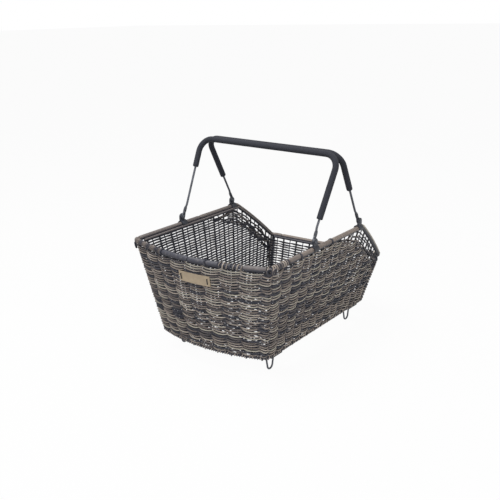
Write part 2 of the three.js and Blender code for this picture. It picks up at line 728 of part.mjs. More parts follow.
function buildHooks() {
  const geometry = hookGeometry();
  for (const [end, y] of [["front", FRONT_HOOK_Y], ["rear", REAR_HOOK_Y]]) {
    for (const [side, sign] of [["left", -1], ["right", 1]]) {
      const hook = piece(`hook_${end}_${side}`, geometry.clone(), wire);
      hook.position.set((sign * HOOK_SPREAD) / 2, y, 0);
    }
  }
}

// Brackets: a clip that snaps over the top of the border, with an upright ear on its outer side.
function bracketGeometry() {
  const wrap = THREE.MathUtils.degToRad(BRACKET_WRAP);
  const halfFacet = (Math.PI / 2 + wrap) / ARC_STEPS;
  const saddle = new THREE.Shape();
  saddle.absarc(0, 0, SADDLE_OUTER, -wrap, Math.PI + wrap, false);
  saddle.absarc(0, 0, SADDLE_INNER / Math.cos(halfFacet), Math.PI + wrap, -wrap, true);
  saddle.closePath();
  const clip = new THREE.ExtrudeGeometry(saddle, {
    depth: BRACKET_LENGTH,
    bevelEnabled: false,
    curveSegments: ARC_STEPS,
  });
  clip.translate(0, 0, -BRACKET_LENGTH / 2);
  clip.rotateX(Math.PI / 2);

  const root = SADDLE_INNER + BRACKET_WALL / 4;
  const crown = EAR_WIDTH / 2;
  const foot = BRACKET_LENGTH / 2 - BRACKET_WALL;
  const ear = new THREE.Shape();
  ear.moveTo(-foot, root);
  ear.lineTo(foot, root);
  ear.quadraticCurveTo(crown, SADDLE_OUTER, crown, PIVOT_RISE);
  ear.absarc(0, PIVOT_RISE, crown, 0, Math.PI, false);
  ear.quadraticCurveTo(-crown, SADDLE_OUTER, -foot, root);
  const upright = new THREE.ExtrudeGeometry(ear, {
    depth: EAR_THICKNESS,
    bevelEnabled: false,
    curveSegments: ARC_STEPS,
  });
  upright.rotateX(Math.PI / 2);
  upright.rotateZ(Math.PI / 2);

  const hole = roundCutter(RIVET_RADIUS + GAP, EAR_THICKNESS);
  hole.rotateZ(Math.PI / 2);
  hole.translate(EAR_THICKNESS / 2, 0, PIVOT_RISE);
  return cut(joined([clip, upright]), [hole]);
}

// Pivot rivets, along X from the handle's eye to the outside of the ear.
function rivetGeometry() {
  const inner = -GAP - EYE_THICKNESS - GAP;
  const outer = EAR_THICKNESS + GAP;
  const rim = RIVET_HEAD_RADIUS;
  const dome = RIVET_CROWN_RADIUS;
  const profile = [
    [0, inner - RIVET_HEAD_HEIGHT],
    [dome, inner - RIVET_HEAD_HEIGHT],
    [rim, inner - RIVET_HEAD_HEIGHT / 2],
    [rim, inner],
    [RIVET_RADIUS, inner],
    [RIVET_RADIUS, outer],
    [rim, outer],
    [rim, outer + RIVET_HEAD_HEIGHT / 2],
    [dome, outer + RIVET_HEAD_HEIGHT],
    [0, outer + RIVET_HEAD_HEIGHT],
  ].map(([radius, height]) => new THREE.Vector2(radius, height));
  return new THREE.LatheGeometry(profile, ROUND_SIDES).rotateZ(-Math.PI / 2);
}

const REAR_PIVOT_Y = PEAK_Y - PEAK_TO_PIVOT;
const pivots = [
  ["front", REAR_PIVOT_Y - HANDLE_SPACING],
  ["rear", REAR_PIVOT_Y],
];

function buildBrackets() {
  const bracket = bracketGeometry();
  const rivet = rivetGeometry();
  for (const [end, y] of pivots) {
    for (const [side, turn] of [["left", Math.PI], ["right", 0]]) {
      const mount = new THREE.Group();
      mount.position.set(turn ? -EAR_X : EAR_X, y, RIM_Z);
      mount.rotation.z = turn;
      basket.add(mount);
      piece(`bracket_${end}_${side}`, bracket.clone(), plastic, mount);
      piece(`rivet_${end}_${side}`, rivet.clone(), wire, mount).position.z = PIVOT_RISE;
    }
  }
}

// Handles, in their own plane: X across, Z up the legs, the pivot axis through the origin.
// Above the joggle the legs flare outward, and a bend tangent to leg and bar joins them.
const LEG_FOOT = JOGGLE_START + JOGGLE_LENGTH;

const legSlope = (flare) => flare / (LEG_LENGTH - LEG_FOOT);

const legPoint = (sign, z, flare) => vec(sign * (LEG_X + (z - LEG_FOOT) * legSlope(flare)), 0, z);

function handlePath(leftStart, rightStart, flare) {
  const lean = Math.atan(legSlope(flare));
  const bendAt = (sign, i) => {
    const angle = mix(-lean, Math.PI / 2, i / ARC_STEPS);
    const centre = legPoint(sign, LEG_LENGTH - HANDLE_BEND, flare);
    centre.x -= (sign * HANDLE_BEND) / Math.cos(lean);
    return centre.add(vec(sign * HANDLE_BEND * Math.cos(angle), 0, HANDLE_BEND * Math.sin(angle)));
  };
  const steps = Array.from({ length: ARC_STEPS + 1 }, (_, i) => i);
  return [
    ...leftStart,
    ...steps.map((i) => bendAt(-1, i)),
    ...steps.map((i) => bendAt(1, i)).reverse(),
    ...rightStart.slice().reverse(),
  ];
}

const handleUp = vec(0, 1, 0);

function handleRod(flare) {
  const foot = (sign) => [
    vec(sign * EYE_X, 0, 2 * EYE_RADIUS),
    vec(sign * EYE_X, 0, JOGGLE_START),
    legPoint(sign, LEG_FOOT, flare),
  ];
  const path = handlePath(foot(-1), foot(1), flare);
  const wireRod = sweep(path, steadyUps(path, handleUp), circle(HANDLE_WIRE_RADIUS, ROUND_SIDES));

  const eye = new THREE.Shape();
  eye.moveTo(-HANDLE_WIRE_RADIUS, EYE_NECK);
  eye.quadraticCurveTo(-EYE_RADIUS, EYE_RADIUS, -EYE_RADIUS, 0);
  eye.absarc(0, 0, EYE_RADIUS, Math.PI, 2 * Math.PI, false);
  eye.quadraticCurveTo(EYE_RADIUS, EYE_RADIUS, HANDLE_WIRE_RADIUS, EYE_NECK);
  eye.closePath();
  const eyes = [-1, 1].map((sign) => {
    const blade = new THREE.ExtrudeGeometry(eye, {
      depth: EYE_THICKNESS,
      bevelEnabled: false,
      curveSegments: ARC_STEPS,
    });
    blade.rotateX(Math.PI / 2);
    blade.rotateZ(Math.PI / 2);
    return blade.translate(sign * EYE_X - EYE_THICKNESS / 2, 0, 0);
  });
  const holes = [-1, 1].map((sign) => {
    const hole = roundCutter(RIVET_RADIUS + GAP, EYE_THICKNESS);
    return hole.rotateZ(Math.PI / 2).translate(sign * EYE_X, 0, 0);
  });
  return cut(joined([wireRod, ...eyes]), holes);
}

// A foam sleeve over the wire, slid along it a little as on the used object.
function handleGrip(flare, slide) {
  const start = (sign) => legPoint(sign, LEG_LENGTH - GRIP_ON_LEG - sign * slide, flare);
  const path = handlePath([start(-1)], [start(1)], flare);
  const bore = (HANDLE_WIRE_RADIUS + GAP) / Math.cos(Math.PI / ROUND_SIDES);
  const rings = (radius) => sweepRings(path, steadyUps(path, handleUp), circle(radius, ROUND_SIDES));
  return loft([...rings(GRIP_RADIUS), ...rings(bore).reverse()]);
}

function buildHandles() {
  const flares = { front: FRONT_HANDLE_FLARE, rear: REAR_HANDLE_FLARE };
  const slides = { front: FRONT_GRIP_SLIDE, rear: REAR_GRIP_SLIDE };
  for (const [end, y] of pivots) {
    const handle = new THREE.Group();
    handle.position.set(0, y, PIVOT_Z);
    handle.rotation.x = end === "front" ? -HANDLE_LEAN : HANDLE_LEAN;
    basket.add(handle);
    piece(`${end}_handle_rod`, handleRod(flares[end]), wire, handle);
    piece(`${end}_handle_grip`, handleGrip(flares[end], slides[end]), foam, handle);
  }
}

// A bare plate bent to the front wall, held by two wire staples.
function buildPlate() {
  const z = RIM_Z - PLATE_BELOW_RIM;
  const frontEnd = outlineAt(z).half - FRONT_CORNER;
  const face = WEAVE_FACE + GAP + PLATE_THICKNESS / 2;
  const steps = 6;
  const xs = Array.from({ length: steps + 1 }, (_, i) => PLATE_X + PLATE_WIDTH * (i / steps - 0.5));
  const at = (x, out, up) => {
    const frame = wallFrame(x / frontEnd, z);
    return wallPoint(x / frontEnd, z).addScaledVector(frame.out, out).addScaledVector(frame.up, up);
  };
  const upAt = (x) => wallFrame(x / frontEnd, z).up;
  const section = rectangle(PLATE_THICKNESS, PLATE_HEIGHT);
  const sheet = sweep(xs.map((x) => at(x, face, 0)), xs.map(upAt), section);

  const bridge = face + PLATE_THICKNESS / 2 + GAP + STAPLE_WIDTH / 2;
  const prongEnd = face - PLATE_THICKNESS / 2;
  const staplePath = (x, depth) => [
    at(x, depth, STAPLE_SPAN / 2),
    at(x, bridge, STAPLE_SPAN / 2),
    at(x, bridge, -STAPLE_SPAN / 2),
    at(x, depth, -STAPLE_SPAN / 2),
  ];
  const staple = (x, depth, width) => {
    const path = staplePath(x, depth);
    const { along } = wallFrame(x / frontEnd, z);
    return sweep(path, steadyUps(path, along), rectangle(width, width));
  };
  const places = { left: xs[0] + STAPLE_INSET, right: xs.at(-1) - STAPLE_INSET };
  const prongs = Object.values(places).map((x) => staple(x, prongEnd - OVERCUT, STAPLE_WIDTH + 2 * GAP));
  piece("name_plate", cut(sheet, prongs), plateCard);
  for (const [side, x] of Object.entries(places)) {
    piece(`plate_staple_${side}`, staple(x, prongEnd, STAPLE_WIDTH), frameSteel);
  }
}

buildRim();
buildFrame();
buildFloorFrame();
buildWeave();
buildBaseBorder();
buildBars();
buildHooks();
buildBrackets();
buildHandles();
buildPlate();

export default basket;
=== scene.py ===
import json
import math
import random

import bpy
from bpy.props import FloatProperty, FloatVectorProperty, PointerProperty
from mathutils import Matrix, Quaternion, Vector


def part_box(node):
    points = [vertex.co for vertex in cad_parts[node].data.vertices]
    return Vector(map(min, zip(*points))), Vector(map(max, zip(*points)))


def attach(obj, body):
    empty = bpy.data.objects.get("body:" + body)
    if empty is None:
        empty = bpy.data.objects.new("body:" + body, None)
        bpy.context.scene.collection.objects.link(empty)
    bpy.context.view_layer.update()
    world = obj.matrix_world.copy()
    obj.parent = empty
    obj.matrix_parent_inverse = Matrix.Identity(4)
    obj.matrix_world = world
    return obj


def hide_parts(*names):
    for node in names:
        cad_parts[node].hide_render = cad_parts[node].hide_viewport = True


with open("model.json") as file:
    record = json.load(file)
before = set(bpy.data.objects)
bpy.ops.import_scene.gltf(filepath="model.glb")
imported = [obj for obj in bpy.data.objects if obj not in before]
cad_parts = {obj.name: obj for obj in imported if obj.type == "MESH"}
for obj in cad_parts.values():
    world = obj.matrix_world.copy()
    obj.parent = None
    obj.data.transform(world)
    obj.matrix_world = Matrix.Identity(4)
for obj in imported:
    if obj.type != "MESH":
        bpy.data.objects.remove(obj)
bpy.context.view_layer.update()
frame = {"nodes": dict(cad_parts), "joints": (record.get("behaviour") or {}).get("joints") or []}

bl_info = {
    "name": "Bicycle basket",
    "version": (1, 0, 0),
    "blender": (4, 5, 0),
    "location": "3D View > Sidebar > Basket",
    "description": "Dresses the packed bicycle basket with its weave, border, grips and finishes",
    "category": "Object",
}

PIVOTS = {joint["child"]: Vector(joint["pos_m"]) for joint in frame["joints"]}
ACROSS = Vector((1, 0, 0))
BACKWARD = Vector((0, 1, 0))
UP = Vector((0, 0, 1))
FULL_TURN = 2 * math.pi
WHITE = (1, 1, 1, 1)


def nodes_named(*starts):
    """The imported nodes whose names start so, in order of name."""
    return sorted(node for node in frame["nodes"] if node.startswith(starts))


def size(name, description, default):
    return FloatProperty(
        name=name, description=description, default=default, unit="LENGTH", precision=5
    )


def colour(name, description, default):
    return FloatVectorProperty(
        name=name, description=description, default=default, subtype="COLOR", size=3, min=0, max=1
    )


class BasketWalls(bpy.types.PropertyGroup):
    rim_width: size("Rim width", "Width of the rim's centre line", 0.330)
    rim_length: size("Rim length", "Length of the rim's centre line", 0.482)
    rim_bow: size("Rim bow", "How far the front bows out at the rim", 0.034)
    base_width: size("Base width", "Width of the foot", 0.258)
    base_length: size("Base length", "Length of the foot", 0.398)
    base_bow: size("Base bow", "How far the front bows out at the foot", 0.024)
    base_centre: size("Base centre", "How far back the middle of the foot lies", -0.001)
    foot_height: size("Foot height", "Height of the foot above the hooks' lowest points", 0.039)
    wall_height: size("Wall height", "Height of the front and side rims above the foot", 0.197)
    back_height: size("Back height", "Height of the low back rim above the foot", 0.099)
    peak_to_back: size("Peak to back", "Length over which the side rims slope down", 0.120)
    front_corner: size("Front corner", "Size of the bend at the front corners", 0.0075)
    back_corner: size("Back corner", "Size of the bend at the back corners", 0.016)
    rail_height: size("Rail height", "Height of the foot rail's centre line", 0.0435)


class BasketWeave(bpy.types.PropertyGroup):
    row_pitch: size("Row pitch", "Height from one row of strands to the next", 0.00525)
    strand_height: size("Strand height", "Height of a strand", 0.0031)
    left_strand: size("Left strand height", "Height of a strand on the left wall", 0.0036)
    back_strand: size("Back strand height", "Height of a strand on the back", 0.0024)
    strand_thickness: size("Strand thickness", "Thickness of a strand", 0.0028)
    stake_radius: size("Stake radius", "Radius of a wire stake", 0.002)
    between_radius: size("Between radius", "Radius of a cane between two wire stakes", 0.0011)
    post_radius: size("Post radius", "Radius of a cane beside a back corner post", 0.0021)
    first_row: size("First row", "Height of the lowest row above the foot rail", 0.0064)
    under_border: size("Under border", "From the border's centre line to the highest row", 0.0088)
    loose_depth: size("Loose depth", "How far below the border the rows end at the peaks", 0.018)
    loose_wobble: size("Loose wobble", "How far a loose strand wanders from its line", 0.0018)
    wander: size("Wander", "How far a row wanders up and down", 0.0009)
    depth: size("Depth", "How far a strand's middle stands out at a pair of stakes", 0.0030)
    dip: size("Dip", "How far a strand dips outside a pair of stakes", 0.0013)
    rise: size("Rise", "How far a strand rises inside a pair of stakes", 0.0004)
    twist: size("Twist", "How far two strands pass above and below each other", 0.0002)
    knob: size("Knob", "How far a cane stake sticks out below the foot rail", 0.0062)
    floor_pitch: size("Floor pitch", "From one row of the floor's strands to the next", 0.0064)


class BasketRim(bpy.types.PropertyGroup):
    border_radius: size("Border radius", "Radius of the border cane", 0.0051)
    inner_radius: size("Inner radius", "Radius of the cane inside, under the border", 0.0028)
    inner_in: size("Inner in", "How far inside the border's middle the inner cane runs", 0.0060)
    inner_down: size("Inner down", "How far below the border's middle it runs", 0.0054)
    loop_width: size("Loop width", "Width of a loop of strand at a front corner", 0.0085)
    loop_height: size("Loop height", "Height of a loop of strand at a front corner", 0.0120)
    wrap_radius: size("Wrap radius", "Radius of the cord that binds the border", 0.0009)
    wide_pitch: size("Wide pitch", "From one turn of a wide winding to the next", 0.0070)
    close_pitch: size("Close pitch", "From one turn of a close winding to the next", 0.0052)
    fine_radius: size("Fine radius", "Radius of the fine strand over the front left", 0.0008)
    fine_pitch: size("Fine pitch", "From one turn of the fine strand to the next", 0.0025)
    foot_radius: size("Foot radius", "Radius of the line that strand winds on", 0.0031)
    foot_cane: size("Foot cane", "Radius of the strand wound round the foot", 0.001)
    foot_pitch: size("Foot pitch", "From one turn round the foot to the next", 0.0052)


class BasketHandles(bpy.types.PropertyGroup):
    spacing: size("Handle spacing", "Distance between the pivots of the two handles", 0.172)
    grip_rise: size("Grip rise", "Height of the grips above the rim", 0.169)
    pivot_rise: size("Pivot rise", "Height of the pivots above the rim", 0.0152)
    grip_radius: size("Grip radius", "Radius of the foam sleeves", 0.0062)
    wire_radius: size("Wire radius", "Radius of the handle wire", 0.00225)
    leg: size("Leg", "Distance from the middle to the foot of a leg's centre line", 0.1623)
    leg_foot: size("Leg foot", "Height on the leg where the joggle ends", 0.027)
    front_flare: size("Front flare", "How far the front handle's legs lean out", 0.008)
    rear_flare: size("Rear flare", "How far the rear handle's legs lean out", 0.003)
    lift: size("Lift", "How much higher the left end of a bar stands than its middle", 0.0025)
    eye: size("Eye", "Distance from the middle to the eye's middle", 0.1635)
    bend: size("Bend", "Radius of the bend at the top corners", 0.028)
    sleeve_on_leg: size("Sleeve on leg", "How far the foam reaches down a leg", 0.096)
    front_slide: size("Front slide", "How far the front sleeve has slid to the right", 0.033)
    rear_slide: size("Rear slide", "How far the rear sleeve has slid to the right", -0.007)
    grip_gap: size("Grip gap", "Gap between the two grips at rest", 0.0003)


class BasketHooks(bpy.types.PropertyGroup):
    wire_radius: size("Wire radius", "Radius of the hook wire", 0.0018)
    half_spread: size("Half spread", "Half the distance between a hook's heads", 0.012)
    bend: size("Bend", "Radius of the bend at the bottom of a hook", 0.0085)


class BasketColours(bpy.types.PropertyGroup):
    # Ink is also the colour of the painted shade under the strands.
    ink: colour("Ink", "Blue-black strands", (0.019, 0.021, 0.034))
    charcoal: colour("Charcoal", "Dark grey strands", (0.046, 0.047, 0.060))
    taupe: colour("Taupe", "Grey-brown strands", (0.190, 0.157, 0.137))
    fawn: colour("Fawn", "Light brown strands", (0.395, 0.338, 0.290))
    olive: colour("Olive", "Light green-grey strands", (0.430, 0.400, 0.332))
    dust: colour("Dust", "Dust on the strands", (0.340, 0.310, 0.280))
    wire: colour("Wire", "Zinc-plated wire", (0.088, 0.095, 0.112))
    coat: colour("Coat", "Dark coating of the frame wire", (0.009, 0.009, 0.011))
    plastic: colour("Plastic", "Black plastic of the brackets", (0.014, 0.016, 0.022))
    foam: colour("Foam", "Foam sleeves", (0.0080, 0.0090, 0.0140))
    plate: colour("Plate", "Bare plate on the front", (0.400, 0.318, 0.220))
    floor: colour("Floor", "Studio floor", (0.600, 0.600, 0.600))


GROUPS = {
    "basket_walls": BasketWalls,
    "basket_weave": BasketWeave,
    "basket_rim": BasketRim,
    "basket_handles": BasketHandles,
    "basket_hooks": BasketHooks,
    "basket_colours": BasketColours,
}


class Value:
    """A node's output in an expression. Each operator adds a Math node."""

    def __init__(self, finish, socket):
        self.finish = finish
        self.socket = socket

    def math(self, operation, *values):
        return self.finish.node("ShaderNodeMath", {"operation": operation}, dict(enumerate(values)))

    def __add__(self, other):
        return self.math("ADD", self, other)

    __radd__ = __add__

    def __sub__(self, other):
        return self.math("SUBTRACT", self, other)

    def __rsub__(self, other):
        return self.math("SUBTRACT", other, self)

    def __mul__(self, other):
        return self.math("MULTIPLY", self, other)

    __rmul__ = __mul__

    def larger(self, other):
        return self.math("MAXIMUM", self, other)

    def smaller(self, other):
        return self.math("MINIMUM", self, other)


class Finish:
    """The nodes of a material or of the world."""

    def __init__(self, owner):
        owner.use_nodes = True
        self.tree = owner.node_tree
        self.tree.nodes.clear()

    def node(self, kind, settings, sockets, output=0):
        """Adds a node, sets it up, gives its sockets values or links, and returns one output."""
        made = self.tree.nodes.new(kind)
        for name, value in settings.items():
            if name == "stops":
                self.set_stops(made.color_ramp, value)
            else:
                setattr(made, name, value)
        for name, value in sockets.items():
            if isinstance(value, Value):
                self.tree.links.new(value.socket, made.inputs[name])
            else:
                made.inputs[name].default_value = value
        return Value(self, made.outputs[output]) if made.outputs else None

    def set_stops(self, ramp, stops):
        while len(ramp.elements) < len(stops):
            ramp.elements.new(0.5)
        for element, (position, shade) in zip(ramp.elements, stops):
            element.position = position
            element.color = opaque(shade)

    def parts(self, vector):
        return [
            self.node("ShaderNodeSeparateXYZ", {}, {"Vector": vector}, output=axis)
            for axis in range(3)
        ]

    def vector(self, x, y, z):
        return self.node("ShaderNodeCombineXYZ", {}, {"X": x, "Y": y, "Z": z})

    def place(self):
        return self.node("ShaderNodeTexCoord", {}, {}, output="Object")

    def drawn_out(self, across, upright):
        """Places scaled so that noise over them is drawn out along one way."""
        x, y, z = self.parts(self.place())
        return self.vector(x * across, y * across, z * upright)

    def noise(self, vector, scale, detail):
        sockets = {"Vector": vector, "Scale": scale, "Detail": detail, "Roughness": 0.55}
        return self.node("ShaderNodeTexNoise", {}, sockets)

    def ramp(self, factor, stops):
        return self.node("ShaderNodeValToRGB", {"stops": stops}, {"Fac": factor})

    def blend(self, factor, first, second):
        settings = {"data_type": "RGBA", "blend_type": "MIX"}
        return self.node("ShaderNodeMix", settings, {0: factor, 6: first, 7: second}, output=2)

    def bump(self, height, strength, distance):
        sockets = {"Height": height, "Strength": strength, "Distance": distance}
        return self.node("ShaderNodeBump", {}, sockets)

    def seen(self, glossy_share):
        """How white a ray shows: the camera's, one through glass, or a share of a glossy one."""
        camera, glossy, through = (
            self.node("ShaderNodeLightPath", {}, {}, output=f"Is {kind} Ray")
            for kind in ("Camera", "Glossy", "Transmission")
        )
        return camera.larger(glossy * glossy_share).larger(through)

    def surface(self, sockets):
        shader = self.node("ShaderNodeBsdfPrincipled", {}, sockets)
        self.node("ShaderNodeOutputMaterial", {}, {"Surface": shader})


def opaque(shade):
    return (*shade, 1)


def scaled(shade, share):
    return [channel * share for channel in shade]


def strand_finish(finish, colours):
    """Extruded cane: own tint, painted shade underneath, and streaks and fine grooves along it."""
    cane = finish.node("ShaderNodeAttribute", {"attribute_name": "cane"}, {}, output="Vector")
    along, height, tint = finish.parts(cane)
    streak = finish.noise(finish.vector(along * 28, height * 3.2, tint * 57), 1.0, detail=4)
    groove = finish.noise(finish.vector(along * 9, height * 11, tint * 91), 1.0, detail=2)
    worn = finish.noise(finish.place(), 160, detail=4)
    shade = finish.ramp(tint + (streak - 0.5) * 0.16, [
        (0.00, colours.ink),
        (0.28, colours.charcoal),
        (0.50, colours.taupe),
        (0.76, colours.fawn),
        (1.00, colours.olive),
    ])
    dust = (worn - 0.5).larger(0) * 1.1 * height
    dusty = finish.blend(dust, shade, opaque(colours.dust))
    # Painted shade: the lower part of each strand's section is darkened towards ink, as light from
    # above would leave it.
    painted_under_shade = (0.66 - height) * 3.2 + (streak - 0.5) * 0.4
    with_painted_shade = finish.blend(painted_under_shade.larger(0).smaller(0.94), dusty, opaque(colours.ink))
    finish.surface({
        "Base Color": with_painted_shade, "Roughness": 0.44 + 0.22 * streak, "Specular IOR Level": 0.4,
        "Normal": finish.bump(groove, 0.55, 0.0004),
    })


def wire_finish(finish, colours):
    """Dull zinc wire with fine drawing lines and a few darker patches."""
    patch = finish.noise(finish.place(), 70, detail=4)
    scratch = finish.noise(finish.drawn_out(900, 60), 1.0, detail=2)
    shade = finish.ramp(patch, [(0.32, scaled(colours.wire, 0.55)), (0.62, colours.wire)])
    finish.surface({
        "Base Color": shade, "Metallic": 0.55, "Roughness": 0.36 + 0.2 * patch,
        "Normal": finish.bump(scratch, 0.25, 0.0002),
    })


def coat_finish(finish, colours):
    """Dark powder coat with a fine orange peel and paler patches."""
    place = finish.place()
    peel = finish.noise(place, 1400, detail=2)
    patch = finish.noise(place, 45, detail=4)
    shade = finish.ramp(patch, [(0.35, colours.coat), (0.8, scaled(colours.coat, 2.4))])
    finish.surface({
        "Base Color": shade, "Roughness": 0.42 + 0.2 * patch,
        "Normal": finish.bump(peel, 0.3, 0.0003),
    })


def plastic_finish(finish, colours):
    """Moulded black plastic: a fine spark texture, rubbed a little paler in places."""
    place = finish.place()
    spark = finish.noise(place, 2200, detail=2)
    rub = finish.noise(place, 120, detail=5)
    shade = finish.ramp(rub, [(0.40, colours.plastic), (0.78, scaled(colours.plastic, 2.6))])
    finish.surface({
        "Base Color": shade, "Roughness": 0.34 + 0.22 * rub,
        "Normal": finish.bump(spark, 0.35, 0.0003),
    })


def foam_finish(finish, colours):
    """Closed-cell foam: matte, with small cells and soft dents."""
    place = finish.place()
    cells = finish.node("ShaderNodeTexVoronoi", {}, {"Vector": place, "Scale": 900.0})
    dents = finish.noise(place, 90, detail=3)
    tone = dents + cells * 0.25
    shade = finish.ramp(tone, [(0.35, colours.foam), (0.95, scaled(colours.foam, 1.9))])
    finish.surface({
        "Base Color": shade, "Roughness": 0.86 + 0.1 * dents,
        "Normal": finish.bump(cells * 0.6 + dents, 0.4, 0.0006),
        "Sheen Weight": 0.05, "Sheen Roughness": 0.5,
    })


def plate_finish(finish, colours):
    """The bare plate: pale pressed board with fine fibres, rubbed darker at places."""
    fibre = finish.noise(finish.drawn_out(260, 1500), 1.0, detail=4)
    stain = finish.noise(finish.place(), 75, detail=4)
    tone = fibre * 0.5 + stain * 0.5
    shade = finish.ramp(tone, [(0.30, scaled(colours.plate, 0.72)), (0.62, colours.plate)])
    finish.surface({
        "Base Color": shade, "Roughness": 0.55 + 0.2 * fibre,
        "Normal": finish.bump(fibre, 0.35, 0.0003),
    })


FINISHES = {
    "woven strand": strand_finish,
    "zinc wire": wire_finish,
    "dark coat": coat_finish,
    "moulded plastic": plastic_finish,
    "foam sleeve": foam_finish,
    "pressed board": plate_finish,
}


def finish_named(scene, name):
    """A finish that several pieces share, made the first time that one asks for it."""
    material = bpy.data.materials.get(name)
    if not material:
        material = bpy.data.materials.new(name)
        FINISHES[name](Finish(material), scene.basket_colours)
    return material


def mix(a, b, t):
    return a + (b - a) * t


def clamp(value, low, high):
    return min(max(value, low), high)


def ease(value, start, end):
    share = clamp((value - start) / (end - start), 0, 1)
    return share * share * (3 - 2 * share)


def bend(start, corner, end, t):
    """A point on the bend from start to end, pulled towards the corner."""
    return [mix(mix(s, c, t), mix(c, e, t), t) for s, c, e in zip(start, corner, end)]


def bowed(line, x):
    """How far back the front of an outline lies, x from the middle."""
    return line["front"] - line["bow"] * (1 - (x / line["half"]) ** 2)


# The station of the middle of the back, the stations in the whole round, and the corner posts.
BACK = 5
ROUND = 2 * BACK
FRONT_POST, BACK_POST = 1.5, 3.5

# Stations over which a side begins, a side ends and the back begins.
SIDE_START, SIDE_END, BACK_START = (FRONT_POST, 2.0), (3.0, BACK_POST), (3.6, 4.0)

# How many wire stakes stand in the front, in each side and in the back.
FRONT_WIRES, SIDE_WIRES, BACK_WIRES = 8, 13, 7


class Wall:
    """The basket's sloping walls.

    A station runs once round them: 0 is the middle of the bowed front, 1 to 2 a front corner, 2 to
    3 a side, 3 to 4 a back corner and 5 the middle of the back. Stations on the left are negative.
    """

    def __init__(self, sizes):
        self.sizes = sizes
        self.rim_z = sizes.foot_height + sizes.wall_height
        self.back_z = sizes.foot_height + sizes.back_height
        rim = self.outline(self.rim_z)
        side_front = rim["front"] + sizes.front_corner
        self.side_length = rim["back"] - sizes.back_corner - side_front
        peak_y = sizes.rim_length / 2 - sizes.peak_to_back
        self.peak = 2 + (peak_y - side_front) / self.side_length
        # Half the length of a back corner's bend.
        self.corner_run = sizes.back_corner * (math.sqrt(2) + math.asinh(1)) / math.sqrt(2) / 2
        self.slope_run = (3 - self.peak) * self.side_length + self.corner_run

    def outline(self, z):
        sizes = self.sizes
        share = (z - sizes.foot_height) / sizes.wall_height
        bow = sizes.base_bow + share * (sizes.rim_bow - sizes.base_bow)
        base_front = sizes.base_centre - sizes.base_length / 2
        base_back = sizes.base_centre + sizes.base_length / 2
        back_share = (z - sizes.foot_height) / sizes.back_height
        return {
            "bow": bow,
            "half": (sizes.base_width + share * (sizes.rim_width - sizes.base_width)) / 2,
            "front": base_front + share * (-sizes.rim_length / 2 - base_front) + bow,
            "back": base_back + back_share * (sizes.rim_length / 2 - base_back),
        }

    def point(self, station, z):
        line = self.outline(z)
        half, front, back = line["half"], line["front"], line["back"]
        place = abs(station)
        part = min(int(place), BACK - 1)
        t = place - part
        side_front = front + self.sizes.front_corner
        side_back = back - self.sizes.back_corner
        front_end = half - self.sizes.front_corner
        back_end = half - self.sizes.back_corner
        if part == 0:
            x, y = front_end * t, bowed(line, front_end * t)
        elif part == 1:
            x, y = bend((front_end, bowed(line, front_end)), (half, front), (half, side_front), t)
        elif part == 2:
            x, y = half, mix(side_front, side_back, t)
        elif part == 3:
            x, y = bend((half, side_back), (half, back), (back_end, back), t)
        else:
            x, y = back_end * (1 - t), back
        return Vector((math.copysign(x, station), y, z))

    def directions(self, station, z):
        """Along the wall, up its slope, and out of the basket."""
        step = 1e-3
        ahead = self.point(min(station + step, BACK), z)
        along = (ahead - self.point(max(station - step, -BACK), z)).normalized()
        up = (self.point(station, z + step) - self.point(station, z)).normalized()
        return along, up, along.cross(up).normalized()

    def rim_height(self, station):
        place = abs(station)
        on_side = (clamp(place, self.peak, 3) - self.peak) * self.side_length
        on_corner = clamp(place - 3, 0, 0.5) * 2 * self.corner_run
        return mix(self.rim_z, self.back_z, (on_side + on_corner) / self.slope_run)

    def rim_point(self, station):
        return self.point(station, self.rim_height(station))


def rounded(station):
    """A station brought back on to the round, past the middle of the back."""
    return station - ROUND if station > BACK else station + ROUND if station < -BACK else station


def middles(count, start, end):
    """The middles of equal spans."""
    return [mix(start, end, (i + 0.5) / count) for i in range(count)]


def ends(count, start, end):
    """The ends of equal spans."""
    return [mix(start, end, i / count) for i in range(count + 1)]


def stations_round(divide):
    """Stations on the front, on both sides and on the back, where each is divided in one way."""
    side = divide(SIDE_WIRES, 2, 3)
    back = [rounded(station) for station in divide(BACK_WIRES, 4, 6)]
    return divide(FRONT_WIRES, -1, 1) + side + [-station for station in side] + back


def stake_stations():
    """The wire stakes and corner posts of the frame, and the cane stakes midway between them."""
    posts = [-FRONT_POST, FRONT_POST, -BACK_POST, BACK_POST]
    return stations_round(middles) + posts, stations_round(ends)


def run_lengths(points):
    """How far along a line each of its points lies."""
    lengths = [0.0]
    for a, b in zip(points, points[1:]):
        lengths.append(lengths[-1] + (b - a).length)
    return lengths


# The tint of a piece whose finish takes no notice of it.
PLAIN = 0.5


